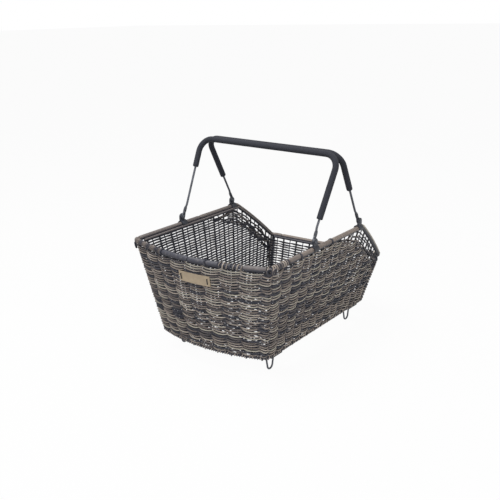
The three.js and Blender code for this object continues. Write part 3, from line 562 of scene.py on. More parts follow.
class Strands:
    """Swept canes and wires, gathered into one mesh.

    Each point keeps, in the attribute "cane", its place along the cane, how high it lies on the
    cane's section, and the cane's tint.
    """

    def __init__(self):
        self.points = []
        self.faces = []
        self.cane = []

    def ring(self, point, out, up, section, along, tint):
        top = max(b for _, b in section)
        for a, b in section:
            self.points.append(point + out * a + up * b)
            self.cane.extend((along, (b / top + 1) / 2, tint))
        return len(self.points) - len(section)

    def skin(self, first, second, count):
        for j in range(count):
            k = (j + 1) % count
            self.faces.append((first + j, first + k, second + k, second + j))

    def sweep(self, path, outs, ups, section, tint, closed=False):
        """Carries a section of (out, up) points along a path. The tint may be a list."""
        count = len(section)
        tints = [tint] * len(path) if isinstance(tint, (int, float)) else tint
        lengths = run_lengths(path)
        rows = list(zip(path, outs, ups, lengths, tints))
        starts = [self.ring(point, out, up, section, *cane) for point, out, up, *cane in rows]
        for first, second in zip(starts, starts[1:]):
            self.skin(first, second, count)
        if closed:
            self.skin(starts[-1], starts[0], count)
            return
        for i, turn in ((0, -1), (-1, 1)):
            point, out, up, *cane = rows[i]
            cap = self.ring(point, out, up, section, *cane)
            self.faces.append(tuple(range(cap, cap + count))[::turn])

    def tube(self, path, radius, sides, tint=PLAIN, up=UP, closed=False):
        """A round tube along a path, whose section doesn't twist. The radius may be a list."""
        outs, ups = carried_frames(path, up, closed)
        if isinstance(radius, (int, float)):
            self.sweep(path, outs, ups, circle(radius, sides), tint, closed)
            return
        outs = [out * r for out, r in zip(outs, radius)]
        ups = [up_way * r for up_way, r in zip(ups, radius)]
        self.sweep(path, outs, ups, circle(1.0, sides), tint, closed)

    def lathe(self, profile, origin, axis, sides):
        """A turned form: profile holds (radius, height) from one end of the axis to the other."""
        side = axis.orthogonal().normalized()
        path = [origin + axis * height for _, height in profile]
        outs = [side * radius for radius, _ in profile]
        ups = [axis.cross(side) * radius for radius, _ in profile]
        self.sweep(path, outs, ups, circle(1.0, sides), PLAIN)

    def build(self, name, finish, body, slot, *stands_for):
        mesh = bpy.data.meshes.new(name)
        mesh.from_pydata(self.points, [], self.faces)
        cane = mesh.attributes.new("cane", "FLOAT_VECTOR", "POINT")
        cane.data.foreach_set("vector", self.cane)
        mesh.shade_smooth()
        mesh.materials.append(finish)
        piece = bpy.data.objects.new(name, mesh)
        bpy.context.scene.collection.objects.link(piece)
        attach(piece, body)
        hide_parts(*stands_for)
        return piece


def circle(radius, sides):
    turns = [FULL_TURN * (i + 0.5) / sides for i in range(sides)]
    return [(radius * math.cos(turn), radius * math.sin(turn)) for turn in turns]


def oval(thickness, height):
    return [(a * thickness / 2, b * height / 2) for a, b in circle(1.0, 8)]


def tangents(path, closed):
    count = len(path)
    found = []
    for i in range(count):
        before = path[i - 1] if i or closed else path[i]
        after = path[(i + 1) % count] if i + 1 < count or closed else path[i]
        found.append((after - before).normalized())
    return found


def carried_frames(path, up, closed):
    """Directions across a path, carried along it without twist from a first up."""
    ways = tangents(path, closed)
    normal = (up - ways[0] * up.dot(ways[0])).normalized()
    outs, ups = [], []
    for i, way in enumerate(ways):
        if i:
            normal = ways[i - 1].rotation_difference(way) @ normal
        outs.append(way.cross(normal).normalized())
        ups.append(normal.copy())
    return outs, ups


# Below, lengths are in metres, places in stakes, and tints go from 0, ink, to 1, olive.

# Kinds of strand: the share of all strands up to this kind, and its lowest and highest tint.
STRAND_KINDS = [(0.14, 0.12, 0.28), (0.33, 0.34, 0.47), (0.74, 0.48, 0.70), (1.00, 0.76, 0.98)]

# A row's second strand often takes after its first one, within a spread, unless that is dark.
DARK_TINT, ALIKE_CHANCE, ALIKE_SPREAD, ALIKE_RANGE = 0.3, 0.65, 0.3, (0.03, 0.98)

# How many stakes a pair of strands passes before the next pair takes over.
RUN = (5, 24)

# How far a row lies off its level, its crossings off the gaps, and a strand off its tint.
ROW_LEAN, ROW_SLIP, TINT_SLIP = 0.0004, 0.28, 0.05

# Painted shade: a strand's tint falls where it runs inside, by the first of these for each unit of
# its swing under the second.
INSIDE_SHADE, TURNING = 0.80, 0.25

# Ripples that neighbouring rows share: their lengths, phases, and shifts from row to row.
RIPPLES = 5
PHASE = (0, 6.3)
RIPPLE_RANGES = [(0.05, 0.16), PHASE, (-0.5, 0.5)]
STAKE_SPACING = 0.0165

# Points of a strand to each stake, the stakes after which it is on the same side again, and the
# place where a row's first strand is furthest inside.
STAKE_STEPS, PERIOD, FIRST_INSIDE = 4, 4, 2.5

# Stations before a peak over which rows start to end lower, and over which a rim is evened out.
LOOSE_LEAD, ROW_WINDOW = (0.22, 0.06), 0.02

# How far a row may rise above its room at its last stake, and how far it goes on past it.
ROOM_SPARE, PAST_STAKE = 0.001, 0.8


class Weaver:
    """Twines pairs of strands past the stakes of the walls.

    In each row one strand runs outside two stakes while its partner runs inside them. Between the
    pairs of stakes the two strands cross and change sides. A place is counted in stakes.
    """

    def __init__(self, scene):
        self.wall = Wall(scene.basket_walls)
        self.weave = scene.basket_weave
        self.chance = random.Random(7)
        wires, gaps = stake_stations()
        self.stakes = sorted(wires + gaps)
        self.section = oval(self.weave.strand_thickness, self.weave.strand_height)
        self.ripples = [
            [self.chance.uniform(*limits) for limits in RIPPLE_RANGES] for _ in range(RIPPLES)
        ]
        # The stakes that the pair of strands in hand has left to pass, and their tints.
        self.pair = 0, ()

    def station(self, place):
        count = len(self.stakes)
        index = math.floor(place)
        here, there = self.stakes[index % count], self.stakes[(index + 1) % count]
        if there < here:
            there += ROUND
        return rounded(mix(here, there, place - index))

    def soft_rim(self, station, window):
        """The rim's height, evened out over a stretch of stations on both sides."""
        spots = [rounded(station + window * i / 4) for i in range(-4, 5)]
        return sum(self.wall.rim_height(spot) for spot in spots) / len(spots)

    def below_rim(self, station, offset, window):
        """The height of a line that keeps its distance from the rim, over a peak and down."""
        step = 0.01
        ahead, behind = rounded(station + step), rounded(station - step)
        rise = self.soft_rim(ahead, window) - self.soft_rim(behind, window)
        run = (self.wall.rim_point(ahead) - self.wall.rim_point(behind)).xy.length
        return self.soft_rim(station, window) - offset * math.hypot(1, rise / run)

    def headroom(self, station):
        """The highest line for a row: under the border, and under the loose rows at the peaks."""
        place = abs(station)
        start, end = (self.wall.peak - lead for lead in LOOSE_LEAD)
        loose = ease(place, start, end) * (1 - ease(place, *SIDE_END))
        offset = self.weave.under_border + self.weave.loose_depth * loose
        return self.below_rim(station, offset, ROW_WINDOW)

    def sway(self, place, row):
        """How far a row wanders from its level, alike in neighbouring rows."""
        waves = [
            math.sin(FULL_TURN * place * STAKE_SPACING / length + phase + shift * row)
            for length, phase, shift in self.ripples
        ]
        return self.weave.wander * sum(waves) / len(waves)

    def fullness(self, station):
        """A strand's share of its usual height: fuller on the left wall, slimmer on the back."""
        weave = self.weave
        back = ease(abs(station), *BACK_START)
        left = ease(-station, *SIDE_START) * (1 - ease(-station, *SIDE_END))
        height = mix(mix(weave.strand_height, weave.left_strand, left), weave.back_strand, back)
        return height / weave.strand_height

    def strand(self, strands, partner, start, end, level, tint, slip, inside_shade=INSIDE_SHADE):
        """Adds one of a row's two strands between two places, with painted shade where it runs
        inside.
        """
        steps = max(round((end - start) * STAKE_STEPS), 1)
        path, outs, ups, tints = [], [], [], []
        for place in ends(steps, start, end):
            station = self.station(place)
            pairs = (place + slip + 0.5) / 2
            turn = math.pi * (pairs + partner)
            swing = broad_wave(turn)
            sag = self.weave.dip if swing > 0 else self.weave.rise
            height = level(station, place) - sag * swing + self.weave.twist * math.cos(turn)
            _, up, out = self.wall.directions(station, height)
            path.append(self.wall.point(station, height) + out * self.weave.depth * swing)
            outs.append(out)
            ups.append(up * self.fullness(station))
            # Painted shade: the tint drops where the strand swings inside the basket.
            tints.append(max(tint + inside_shade * min(swing - TURNING, 0), 0))
        strands.sweep(path, outs, ups, self.section, tints)

    def tint(self):
        kind = self.chance.random()
        limits = next(limits for share, *limits in STRAND_KINDS if kind < share)
        return self.chance.uniform(*limits)

    def pairs(self, first, last):
        """The stretches of a row that keep the same two strands, with the strands' tints."""
        start = first
        while start < last:
            left, tints = self.pair
            if left < 1:
                own = self.tint()
                near = own + self.chance.uniform(-ALIKE_SPREAD, ALIKE_SPREAD)
                alike = own > DARK_TINT and self.chance.random() < ALIKE_CHANCE
                other = clamp(near, *ALIKE_RANGE) if alike else self.tint()
                left, tints = self.chance.uniform(*RUN), (own, other)
            end = min(start + left, last)
            self.pair = left - (end - start), tints
            yield start, end, tints
            start = end

    def hidden(self, partner, place):
        """The nearest place where one of the two strands runs inside the basket."""
        middle = FIRST_INSIDE - PERIOD / 2 * partner
        return middle + PERIOD * round((place - middle) / PERIOD)

    def row(self, strands, row, z, first, last):
        """Adds a row's pairs of strands, each pair spliced to the next inside the basket."""
        lean = self.chance.uniform(-ROW_LEAN, ROW_LEAN)
        slip = self.chance.uniform(-ROW_SLIP, ROW_SLIP)

        def level(station, place):
            return min(z + lean + self.sway(place, row), self.headroom(station))

        for start, end, tints in self.pairs(first, last):
            for partner, tint in enumerate(tints):
                head = start if start == first else self.hidden(partner, start)
                tail = end if end == last else self.hidden(partner, end)
                if tail > head:
                    own = tint + self.chance.uniform(-TINT_SLIP, TINT_SLIP)
                    self.strand(strands, partner, head, tail, level, own, slip)

    def levels(self):
        """The heights of the rows."""
        bottom = self.wall.sizes.rail_height + self.weave.first_row
        top = self.wall.rim_z - self.weave.under_border
        count = int((top - bottom) / self.weave.row_pitch) + 1
        pitch = (top - bottom) / (count - 1)
        return [bottom + pitch * i for i in range(count)]

    def reach(self, z):
        """The places where an open row starts and ends: past the last stakes with room for it."""
        low = z - ROOM_SPARE
        tall = [i for i, station in enumerate(self.stakes) if self.headroom(station) > low]
        return tall[0] - PAST_STAKE, tall[-1] + PAST_STAKE


def broad_wave(turn):
    """A sine wave with broad tops."""
    wave = math.sin(turn)
    return wave * (1.35 - 0.35 * wave * wave)


def wall_weave(scene, finish):
    """Closed rows round all four walls, and open rows above the low back."""
    weaver = Weaver(scene)
    lower, upper = Strands(), Strands()
    back_room = weaver.headroom(BACK)
    for row, z in enumerate(weaver.levels()):
        if z <= back_room:
            weaver.row(lower, row, z, 0, len(weaver.stakes))
        else:
            weaver.row(upper, row, z, *weaver.reach(z))
    loose_rows(weaver, upper)
    lower.build("lower_weave", finish, "basket", "cane", "wall_weave_lower")
    upper.build("upper_weave", finish, "basket", "cane", "wall_weave_upper")


# Loose strands at the peaks: side, how many, and their tints.
LOOSE_STRANDS = [(-1, 9, (0.30, 0.42, 0.52, 0.64)), (1, 6, (0.42, 0.55, 0.68, 0.85))]

# How far below the line of the highest row the first of them starts, and how far down they reach.
LOOSE_TOP, LOOSE_REACH = 0.001, 0.022

# Stations over which the rim is evened out for the first of them, and how many more for the last.
LOOSE_WINDOW, MORE_WINDOW = 0.03, 0.14

# How far before a peak they start, how fast they wobble, how far they stray, and how much painted
# shade darkens them inside.
LOOSE_START, LOOSE_RATE = (0.06, 0.26), (0.6, 1.3)
LOOSE_STRAY, LOOSE_SLIP, LOOSE_INSIDE_SHADE = 0.2, 0.4, 0.15


def loose_rows(weaver, strands):
    """Loose strands that wander over each peak and down the slope, below the rim."""
    chance = random.Random(11)
    for side, lines, tints in LOOSE_STRANDS:
        for line in range(lines):
            share = (line + chance.uniform(-LOOSE_STRAY, LOOSE_STRAY)) / lines
            offset = weaver.weave.under_border + LOOSE_TOP + LOOSE_REACH * share
            window = LOOSE_WINDOW + MORE_WINDOW * share
            lead = weaver.wall.peak - chance.uniform(*LOOSE_START)
            near = [i for i, stake in enumerate(weaver.stakes) if lead < side * stake <= BACK_POST]
            phase, rate = chance.uniform(*PHASE), chance.uniform(*LOOSE_RATE)

            def level(station, place):
                wobble = weaver.weave.loose_wobble * math.sin(place * rate + phase)
                return weaver.below_rim(station, offset + wobble, window)

            slip, tint = chance.uniform(-LOOSE_SLIP, LOOSE_SLIP), chance.choice(tints)
            weaver.strand(strands, line, near[0], near[-1], level, tint, slip, LOOSE_INSIDE_SHADE)


# Stations of the canes that stand beside the back corner posts.
POST_CANES = [side * station for side in (-1, 1) for station in (3.30, 3.66)]
POST_TINT = 0.1

# Cane stakes: their tints in turn, and the knob under the foot, as places from its end to the rail
# and how thick it is there.
STAKE_TINTS = (0.04, 0.10, 0.16, 0.22, 0.28)
KNOB_PLACES, KNOB_SWELL = (0, 0.15, 0.5), (0.7, 1.2, 1.25)


def between_stakes(scene, finish):
    """Cane stakes midway between the wire ones, from just below the foot up into the border."""
    walls, weave = scene.basket_walls, scene.basket_weave
    wall = Wall(walls)
    stakes = Strands()

    def upright(station):
        foot, head = wall.point(station, walls.rail_height), wall.rim_point(station)
        return [foot.lerp(head, t) for t in ends(6, 0, 1)]

    _, gaps = stake_stations()
    for i, station in enumerate(gaps):
        line = upright(station)
        foot, head = line[0], line[-1]
        knob = foot - (head - foot).normalized() * weave.knob
        path = [knob.lerp(foot, t) for t in KNOB_PLACES] + line
        radii = [weave.between_radius * share for share in KNOB_SWELL + (1,) * len(line)]
        stakes.tube(path, radii, 8, STAKE_TINTS[i % len(STAKE_TINTS)], up=ACROSS)
    for station in POST_CANES:
        stakes.tube(upright(station), weave.post_radius, 8, POST_TINT, up=ACROSS)
    stakes.build("between_stakes", finish, "basket", "dark_cane")


class RimLine:
    """The rim's centre line, measured by length."""

    def __init__(self, wall, start, end):
        self.wall = wall
        self.stations = ends(max(int(abs(end - start) * 160), 24), start, end)
        self.points = [wall.rim_point(rounded(station)) for station in self.stations]
        self.lengths = run_lengths(self.points)
        self.length = self.lengths[-1]

    def at(self, distance):
        """A point on the line, with directions up and out, and along it."""
        beyond = (i for i, length in enumerate(self.lengths) if length >= distance)
        i = max(1, next(beyond, len(self.lengths) - 1))
        share = (distance - self.lengths[i - 1]) / (self.lengths[i] - self.lengths[i - 1])
        point = self.points[i - 1].lerp(self.points[i], share)
        near, far = max(i - 2, 0), min(i + 1, len(self.points) - 1)
        along = (self.points[far] - self.points[near]).normalized()
        _, up, _ = self.wall.directions(rounded(self.stations[i]), point.z)
        out = along.cross(up).normalized()
        return point, out.cross(along), out, along


def short_line(wall, station):
    """A stretch of the rim's line, with a station in its middle."""
    return RimLine(wall, station - 0.1, station + 0.1)


# Border canes: the length of a step, the gap at an end, and the end's thickness as a share.
CANE_STEP, CANE_INSET, CANE_END = 0.004, 0.0006, 0.82

# How far outside what they bind a winding's and a loop's middles lie, as shares of their radius,
# and how far the foot's core reaches into its winding.
WINDING_OUT, LOOP_OUT, FOOT_CORE = 0.7, 0.4, 0.6


def border_cane(strands, line, radius, tint, inward=0, down=0):
    """One smooth length of border cane, with slightly rounded ends."""
    steps = max(int(line.length / CANE_STEP), 4)
    path, outs, ups = [], [], []
    for i, distance in enumerate(ends(steps, CANE_INSET, line.length - CANE_INSET)):
        point, up, out, _ = line.at(distance)
        share = CANE_END if i in (0, steps) else 1.0
        path.append(point - out * inward - up * down)
        outs.append(out * share)
        ups.append(up * share)
    strands.sweep(path, outs, ups, circle(radius, 16), tint)


def wrapping(strands, line, start, end, radius, cane, pitch, tint):
    """Thin cane wound round the border from one distance along the line to another."""
    turn_steps = 12
    steps = max(int((end - start) / pitch * turn_steps), turn_steps)
    path = []
    for i, distance in enumerate(ends(steps, start, end)):
        point, up, out, _ = line.at(distance)
        turn = FULL_TURN * i / turn_steps
        way = out * math.cos(turn) + up * math.sin(turn)
        path.append(point + way * (radius + cane * WINDING_OUT))
    strands.tube(path, cane, 6, tint)


# Border canes, end to end round the rim: first station, tint, and the kind of strand wound over
# it, if any.
BORDER_CANES = [
    (-1.95, 0.42, None),
    (-1.02, 0.36, "fine"),
    (-0.42, 0.16, None),
    (0.02, 0.24, None),
    (0.27, 0.27, None),
    (0.45, 0.10, "wide"),
    (0.74, 0.35, None),
    (1.02, 0.06, "wide"),
    (1.95, 0.12, "close"),
    (2.10, 0.46, None),
    (2.18, 0.49, None),
    (2.415, 0.55, None),
    # This slope cane is pale, and its tint is raised further as painted light, so that its shaded
    # face towards the front still shows light.
    (2.6733, 0.95, None),
    (3.25, 0.80, None),
    (4.10, 0.54, None),
    (5.90, 0.47, None),
    (6.75, 0.47, None),
    (7.3267, 0.42, None),
    (7.60, 0.40, None),
]
WINDING_TINTS = {"fine": 0.46, "wide": 0.62, "close": 0.66}

# Thinner canes inside the basket, close under the border: start and end stations, and tint.
INNER_CANES = [
    (2.02, 2.6733, 0.24),
    (3.55, 6.45, 0.30),
    (6.55, 7.3267, 0.46),
    (7.3267, 7.98, 0.38),
]

# Stations where a dark cord binds the border.
LASHINGS = [-0.42, 0.27, 0.45, 2.18, 2.415]
LASHING_TINT = 0.06

# Loops of strand at the front corners: station, drop below the border's centre line, and tint.
CORNER_LOOPS = [(-1.62, 0.0105, 0.03), (1.30, 0.001, 0.60), (1.80, 0.002, 0.58)]
LOOP_LEAN = 0.0008


def corner_loop(strands, wall, rim, cane, station, drop, tint):
    """A strand knotted at a corner: an upright loop against the outside of the border."""
    line = short_line(wall, station)
    point, up, out, along = line.at(line.length / 2)
    middle = point + out * (rim.border_radius + cane * LOOP_OUT) - up * drop
    path = []
    for turn in ends(20, 0, FULL_TURN):
        across = along * rim.loop_width / 2 * math.cos(turn)
        upward = up * rim.loop_height / 2 * math.sin(turn)
        path.append(middle + across + upward + out * LOOP_LEAN * math.sin(turn / 2))
    strands.tube(path, cane, 8, tint)


def rim_border(scene, finish):
    """Border canes end to end round the rim, with strand wound over some of them."""
    wall, rim = Wall(scene.basket_walls), scene.basket_rim
    canes, windings = Strands(), Strands()
    strand = scene.basket_weave.strand_thickness / 2
    kinds = {
        "fine": (rim.fine_radius, rim.fine_pitch),
        "wide": (strand, rim.wide_pitch),
        "close": (strand, rim.close_pitch),
    }
    starts = [start for start, _, _ in BORDER_CANES]
    for (start, tint, kind), end in zip(BORDER_CANES, starts[1:] + [starts[0] + ROUND]):
        line = RimLine(wall, start, end)
        if not kind:
            border_cane(canes, line, rim.border_radius, tint)
            continue
        cane, pitch = kinds[kind]
        core = rim.border_radius - cane
        border_cane(canes, line, core, tint)
        wrapping(windings, line, cane, line.length - cane, core, cane, pitch, WINDING_TINTS[kind])
    for start, end, tint in INNER_CANES:
        line = RimLine(wall, start, end)
        border_cane(canes, line, rim.inner_radius, tint, rim.inner_in, rim.inner_down)
    for loop in CORNER_LOOPS:
        corner_loop(windings, wall, rim, strand, *loop)
    for station in LASHINGS:
        line = short_line(wall, station)
        middle, width = line.length / 2, 2 * rim.wrap_radius
        wrapping(windings, line, middle - width, middle + width, rim.border_radius,
                 rim.wrap_radius, width, LASHING_TINT)
    canes.build("rim_canes", finish, "basket", "cane", *nodes_named("border_"))
    windings.build("rim_windings", finish, "basket", "dark_cane")


FOOT_TINT, FOOT_CORE_TINT = 0.74, 0.03


def foot_winding(scene, finish):
    """Strand wound round the foot rail."""
    wall, rim = Wall(scene.basket_walls), scene.basket_rim
    height = scene.basket_walls.rail_height
    stations = ends(1200, -BACK, BACK)
    core = [wall.point(station, height) for station in stations]
    lengths = run_lengths(core)
    turn_steps = 8
    steps = round(lengths[-1] / rim.foot_pitch) * turn_steps
    path = []
    spot = 0
    for i in range(steps):
        distance = lengths[-1] * i / steps
        while lengths[spot + 1] < distance:
            spot += 1
        share = (distance - lengths[spot]) / (lengths[spot + 1] - lengths[spot])
        point = core[spot].lerp(core[spot + 1], share)
        _, _, out = wall.directions(mix(stations[spot], stations[spot + 1], share), height)
        flat = Vector((out.x, out.y, 0)).normalized()
        turn = FULL_TURN * i / turn_steps
        path.append(point + (flat * math.cos(turn) + UP * math.sin(turn)) * rim.foot_radius)
    winding = Strands()
    core_radius = rim.foot_radius - rim.foot_cane * FOOT_CORE
    winding.tube(path, rim.foot_cane, 6, FOOT_TINT, closed=True)
    winding.tube(core[:-1:4], core_radius, 10, FOOT_CORE_TINT, closed=True)
    winding.build("foot_winding", finish, "basket", "dark_cane", *nodes_named("base_border_"))


# The floor: spans between its wires and canes, room at its edge, and the tints of its strands.
FLOOR_SPANS, CANE_ROOM, STRAND_ROOM = 10, 0.004, 0.008
FLOOR_TINTS = (0.08, 0.3, 0.35, 0.5, 0.6, 0.68)


def floor_weave(scene, finish):
    """Strands across the floor wires, with cane stakes between the wires."""
    weave, height = scene.basket_weave, scene.basket_walls.rail_height
    line = Wall(scene.basket_walls).outline(height)
    low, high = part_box("floor_frame")
    half = high.x - weave.stake_radius
    stakes = ends(FLOOR_SPANS, -half, half)
    chance = random.Random(3)
    strands = Strands()
    section = oval(weave.strand_thickness, weave.strand_height)
    reach = weave.stake_radius + weave.strand_thickness / 2
    for i, x in enumerate(stakes[1::2]):
        start = max(bowed(line, x), low.y) + CANE_ROOM
        path = [Vector((x, y, height)) for y in ends(4, start, high.y)]
        strands.tube(path, weave.between_radius, 8, 0.15 + 0.05 * i)
    rows = int((high.y - low.y - CANE_ROOM - STRAND_ROOM) / weave.floor_pitch)
    for row in range(rows):
        y = low.y + STRAND_ROOM + row * weave.floor_pitch
        inside = [i for i, x in enumerate(stakes) if bowed(line, x) + STRAND_ROOM < y]
        if len(inside) < 3:
            continue
        path = []
        for i in inside[:-1]:
            side = 1 if (i + row) % 2 else -1
            for k in range(4 + (i == inside[-2])):
                t = k / 4
                x = mix(stakes[i], stakes[i + 1], t)
                path.append(Vector((x, y, height + side * reach * math.cos(math.pi * t))))
        outs, ups = [UP] * len(path), [BACKWARD] * len(path)
        strands.sweep(path, outs, ups, section, chance.choice(FLOOR_TINTS))
    strands.build("floor_strands", finish, "basket", "cane", "floor_weave")


class Handle:
    """One handle's line in its own plane, from its pivot up its flared legs to the bar."""

    def __init__(self, sizes, body):
        front = body == "front_handle"
        reach = sizes.spacing / 2 - sizes.grip_radius - sizes.grip_gap / 2
        rise = sizes.grip_rise - sizes.pivot_rise
        turn = Quaternion(ACROSS, math.atan2(reach, rise) * (-1 if front else 1))
        flare = sizes.front_flare if front else sizes.rear_flare
        self.sizes = sizes
        self.body = body
        self.pivot = PIVOTS[body]
        self.up = turn @ UP
        self.square = turn @ BACKWARD
        self.length = math.hypot(reach, rise)
        self.slide = sizes.front_slide if front else sizes.rear_slide
        self.slope = flare / (self.length - sizes.leg_foot)

    def leg(self, z):
        """A point of the right leg, as (across, up)."""
        return self.sizes.leg + (z - self.sizes.leg_foot) * self.slope, z

    def place(self, x, z):
        lift = -self.sizes.lift * x / self.sizes.leg * max(z, 0) / self.length
        return self.pivot + ACROSS * x + self.up * z + UP * lift

    def arch(self, left_foot, right_foot):
        """The line's points, from one foot over the top to the other."""
        radius, top = self.sizes.bend, self.length
        lean = math.atan(self.slope)
        centre = self.leg(top - radius)[0] - radius / math.cos(lean)
        corner = [
            (centre + radius * math.cos(turn), top - radius * (1 - math.sin(turn)))
            for turn in ends(10, -lean, math.pi / 2)
        ]
        middle = [(x, top) for x in ends(12, -centre, centre)[1:-1]]
        left = [(-x, z) for x, z in left_foot + corner]
        return [self.place(x, z) for x, z in left + middle + corner[::-1] + right_foot[::-1]]


def straight(start, end, steps):
    return list(zip(ends(steps, start[0], end[0]), ends(steps, start[1], end[1])))


# The flattened eye at the foot of a leg, and how its neck tapers, up the leg and across it.
EYE_RADIUS, EYE_NECK, EYE_THICKNESS, EYE_HOLE = 0.0052, 0.014, 0.0024, 0.0023
NECK_UP, NECK_ACROSS = 1.6, 2.6


def eye_blade(strands, handle, side):
    """A flattened eye at the foot of a leg, with a round hole for the pivot."""
    sides = 32
    centre = handle.place(side * handle.sizes.eye, 0)
    outer, inner = [], []
    for i in range(sides):
        turn = FULL_TURN * i / sides
        cosine, sine = math.cos(turn), math.sin(turn)
        reach = EYE_RADIUS
        if cosine > 0:
            upward = max(cosine, 1e-6)
            neck_side = abs(sine) / (handle.sizes.wire_radius * NECK_ACROSS)
            taper = 1 / (upward / (EYE_NECK * NECK_UP) + neck_side)
            reach = max(reach, min(taper, EYE_NECK / upward))
        way = handle.up * cosine + handle.square * sine
        outer.append(way * reach)
        inner.append(way * EYE_HOLE)
    first = len(strands.points)
    for shift in (-EYE_THICKNESS / 2, EYE_THICKNESS / 2):
        for offset in outer + inner:
            strands.points.append(centre + offset + ACROSS * shift)
            strands.cane.extend((offset.length, 0.5, PLAIN))
    back_outer, back_inner, front_outer, front_inner = (first + sides * k for k in range(4))
    for i in range(sides):
        k = (i + 1) % sides
        strands.faces += [
            (back_outer + i, back_outer + k, back_inner + k, back_inner + i),
            (front_outer + k, front_outer + i, front_inner + i, front_inner + k),
            (back_outer + k, back_outer + i, front_outer + i, front_outer + k),
            (back_inner + i, back_inner + k, front_inner + k, front_inner + i),
        ]


# Heights on a leg above its pivot: the wire's end, then the joggle's lower and upper bends.
WIRE_END, JOGGLE_LOW, JOGGLE_START, JOGGLE_END = 0.0104, 0.020, 0.0215, 0.0255

# How far the joggle's bends are eased, how far below the top bend a leg stops, and the eyes' edges.
JOGGLE_EASE, WIRE_TO_BEND, EYE_EDGE = 0.0003, 0.006, 0.0003


def handle_wire(handle, wire):
    """The bent wire of one handle, joggled above the eyes."""
    sizes, body = handle.sizes, handle.body
    eye, leg = sizes.eye, sizes.leg
    leg_top = handle.length - sizes.bend - WIRE_TO_BEND
    foot = straight((eye, WIRE_END), (eye, JOGGLE_LOW), 2)
    foot += straight((eye - JOGGLE_EASE, JOGGLE_START), (leg + JOGGLE_EASE, JOGGLE_END), 3)
    foot += straight(handle.leg(sizes.leg_foot), handle.leg(leg_top), 8)
    strands = Strands()
    strands.tube(handle.arch(foot, foot), sizes.wire_radius, 14, up=handle.square)
    for side in (-1, 1):
        eye_blade(strands, handle, side)
    piece = strands.build(f"{body}_wire", wire, body, "wire", f"{body}_rod")
    soften(piece, EYE_EDGE)


# Sleeves on the feet of the legs: lowest and highest point, and radii from one to the other.
SLEEVE_LOW, SLEEVE_HIGH = 0.0085, 0.0215
SLEEVE_RADII = [0.0030, 0.0032, 0.0033, 0.0033, 0.0033, 0.0031, 0.0027]


def handle_feet(handle, plastic):
    """Black sleeves over the feet of the legs, from the eye up to the joggle."""
    body = handle.body
    heights = ends(len(SLEEVE_RADII) - 1, SLEEVE_LOW, SLEEVE_HIGH)
    strands = Strands()
    for side in (-1, 1):
        path = [handle.place(side * handle.sizes.eye, z) for z in heights]
        strands.tube(path, SLEEVE_RADII, 14, up=handle.square)
    strands.build(f"{body}_feet", plastic, body, "black_plastic")


# The foam: its soft ends, as distances and shares of its radius, its uneven skin, the length of a
# step, and how far below the bend its straight part stops.
GRIP_ENDS, GRIP_END_SHARES = (0, 0.0006, 0.0015), (0.86, 0.94, 0.985)
GRIP_SKIN, GRIP_STEP, GRIP_TO_BEND = (0.985, 1.0), 0.004, 0.005


def handle_grip(handle, foam):
    """The foam sleeve of one handle, with soft ends and a slightly uneven skin."""
    sizes, body = handle.sizes, handle.body
    chance = random.Random(5)

    def foot(side):
        start = handle.length - sizes.sleeve_on_leg - side * handle.slide
        end = handle.length - sizes.bend - GRIP_TO_BEND
        steps = max(int((end - start) / GRIP_STEP), 3)
        soft_end = [handle.leg(start + rise) for rise in GRIP_ENDS]
        return soft_end + straight(handle.leg(start + GRIP_STEP), handle.leg(end), steps)

    path = handle.arch(foot(-1), foot(1))
    swell = [sizes.grip_radius * chance.uniform(*GRIP_SKIN) for _ in path]
    for i, share in enumerate(GRIP_END_SHARES):
        swell[i] = swell[-1 - i] = sizes.grip_radius * share
    strands = Strands()
    strands.tube(path, swell, 24, up=handle.square)
    strands.build(f"{body}_sleeve", foam, body, "foam", f"{body}_grip")


def soften(piece, width):
    """Small rounded edges, as on pressed, moulded or bent pieces."""
    edge = piece.modifiers.new("soft edges", "BEVEL")
    edge.width = width
    edge.segments = 2
    edge.limit_method = "ANGLE"
    edge.angle_limit = math.radians(40)


# Turned heads, as (radius, height): of a hook, up from its bar, and of a rivet, in from its end.
HOOK_HEAD = [(0.0017, 0), (0.0030, 0.0001), (0.0031, 0.0008), (0.0024, 0.0014), (0.0006, 0.0016)]
RIVET_HEAD = [
    (0.0004, 0), (0.0022, 0.0002), (0.0034, 0.0008), (0.0040, 0.0015), (0.0040, 0.0018),
    (0.0020, 0.0018),
]


def carrier_hook(hooks, node, wire):
    """A bent wire loop under the floor, with flattened heads on top of the bar."""
    low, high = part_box(node)
    half, radius = hooks.half_spread, hooks.bend
    middle = (low + high) / 2
    shoulder = high.z - HOOK_HEAD[-1][1]
    centre = low.z + radius + hooks.wire_radius
    leg = [(mix(half, radius, t ** 2), mix(shoulder, centre, t)) for t in ends(4, 0, 1)[:-1]]
    loop = [
        (radius * math.cos(turn), centre + radius * math.sin(turn))
        for turn in ends(16, math.pi, FULL_TURN)
    ]
    line = [(-y, z) for y, z in leg] + loop + leg[::-1]
    strands = Strands()
    path = [Vector((middle.x, middle.y + y, z)) for y, z in line]
    strands.tube(path, hooks.wire_radius, 12, up=ACROSS)
    for side in (-half, half):
        strands.lathe(HOOK_HEAD, Vector((middle.x, middle.y + side, shoulder)), UP, 16)
    strands.build(f"{node}_wire", wire, "basket", "wire", node)


def pivot_rivet(node, wire):
    """A domed rivet through the bracket's ear and the handle's eye."""
    low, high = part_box(node)
    middle = (low + high) / 2
    length = high.x - low.x
    far_head = [(radius, length - height) for radius, height in RIVET_HEAD[::-1]]
    strands = Strands()
    strands.lathe(RIVET_HEAD + far_head, Vector((low.x, middle.y, middle.z)), ACROSS, 24)
    strands.build(f"{node}_turned", wire, "basket", "wire", node)


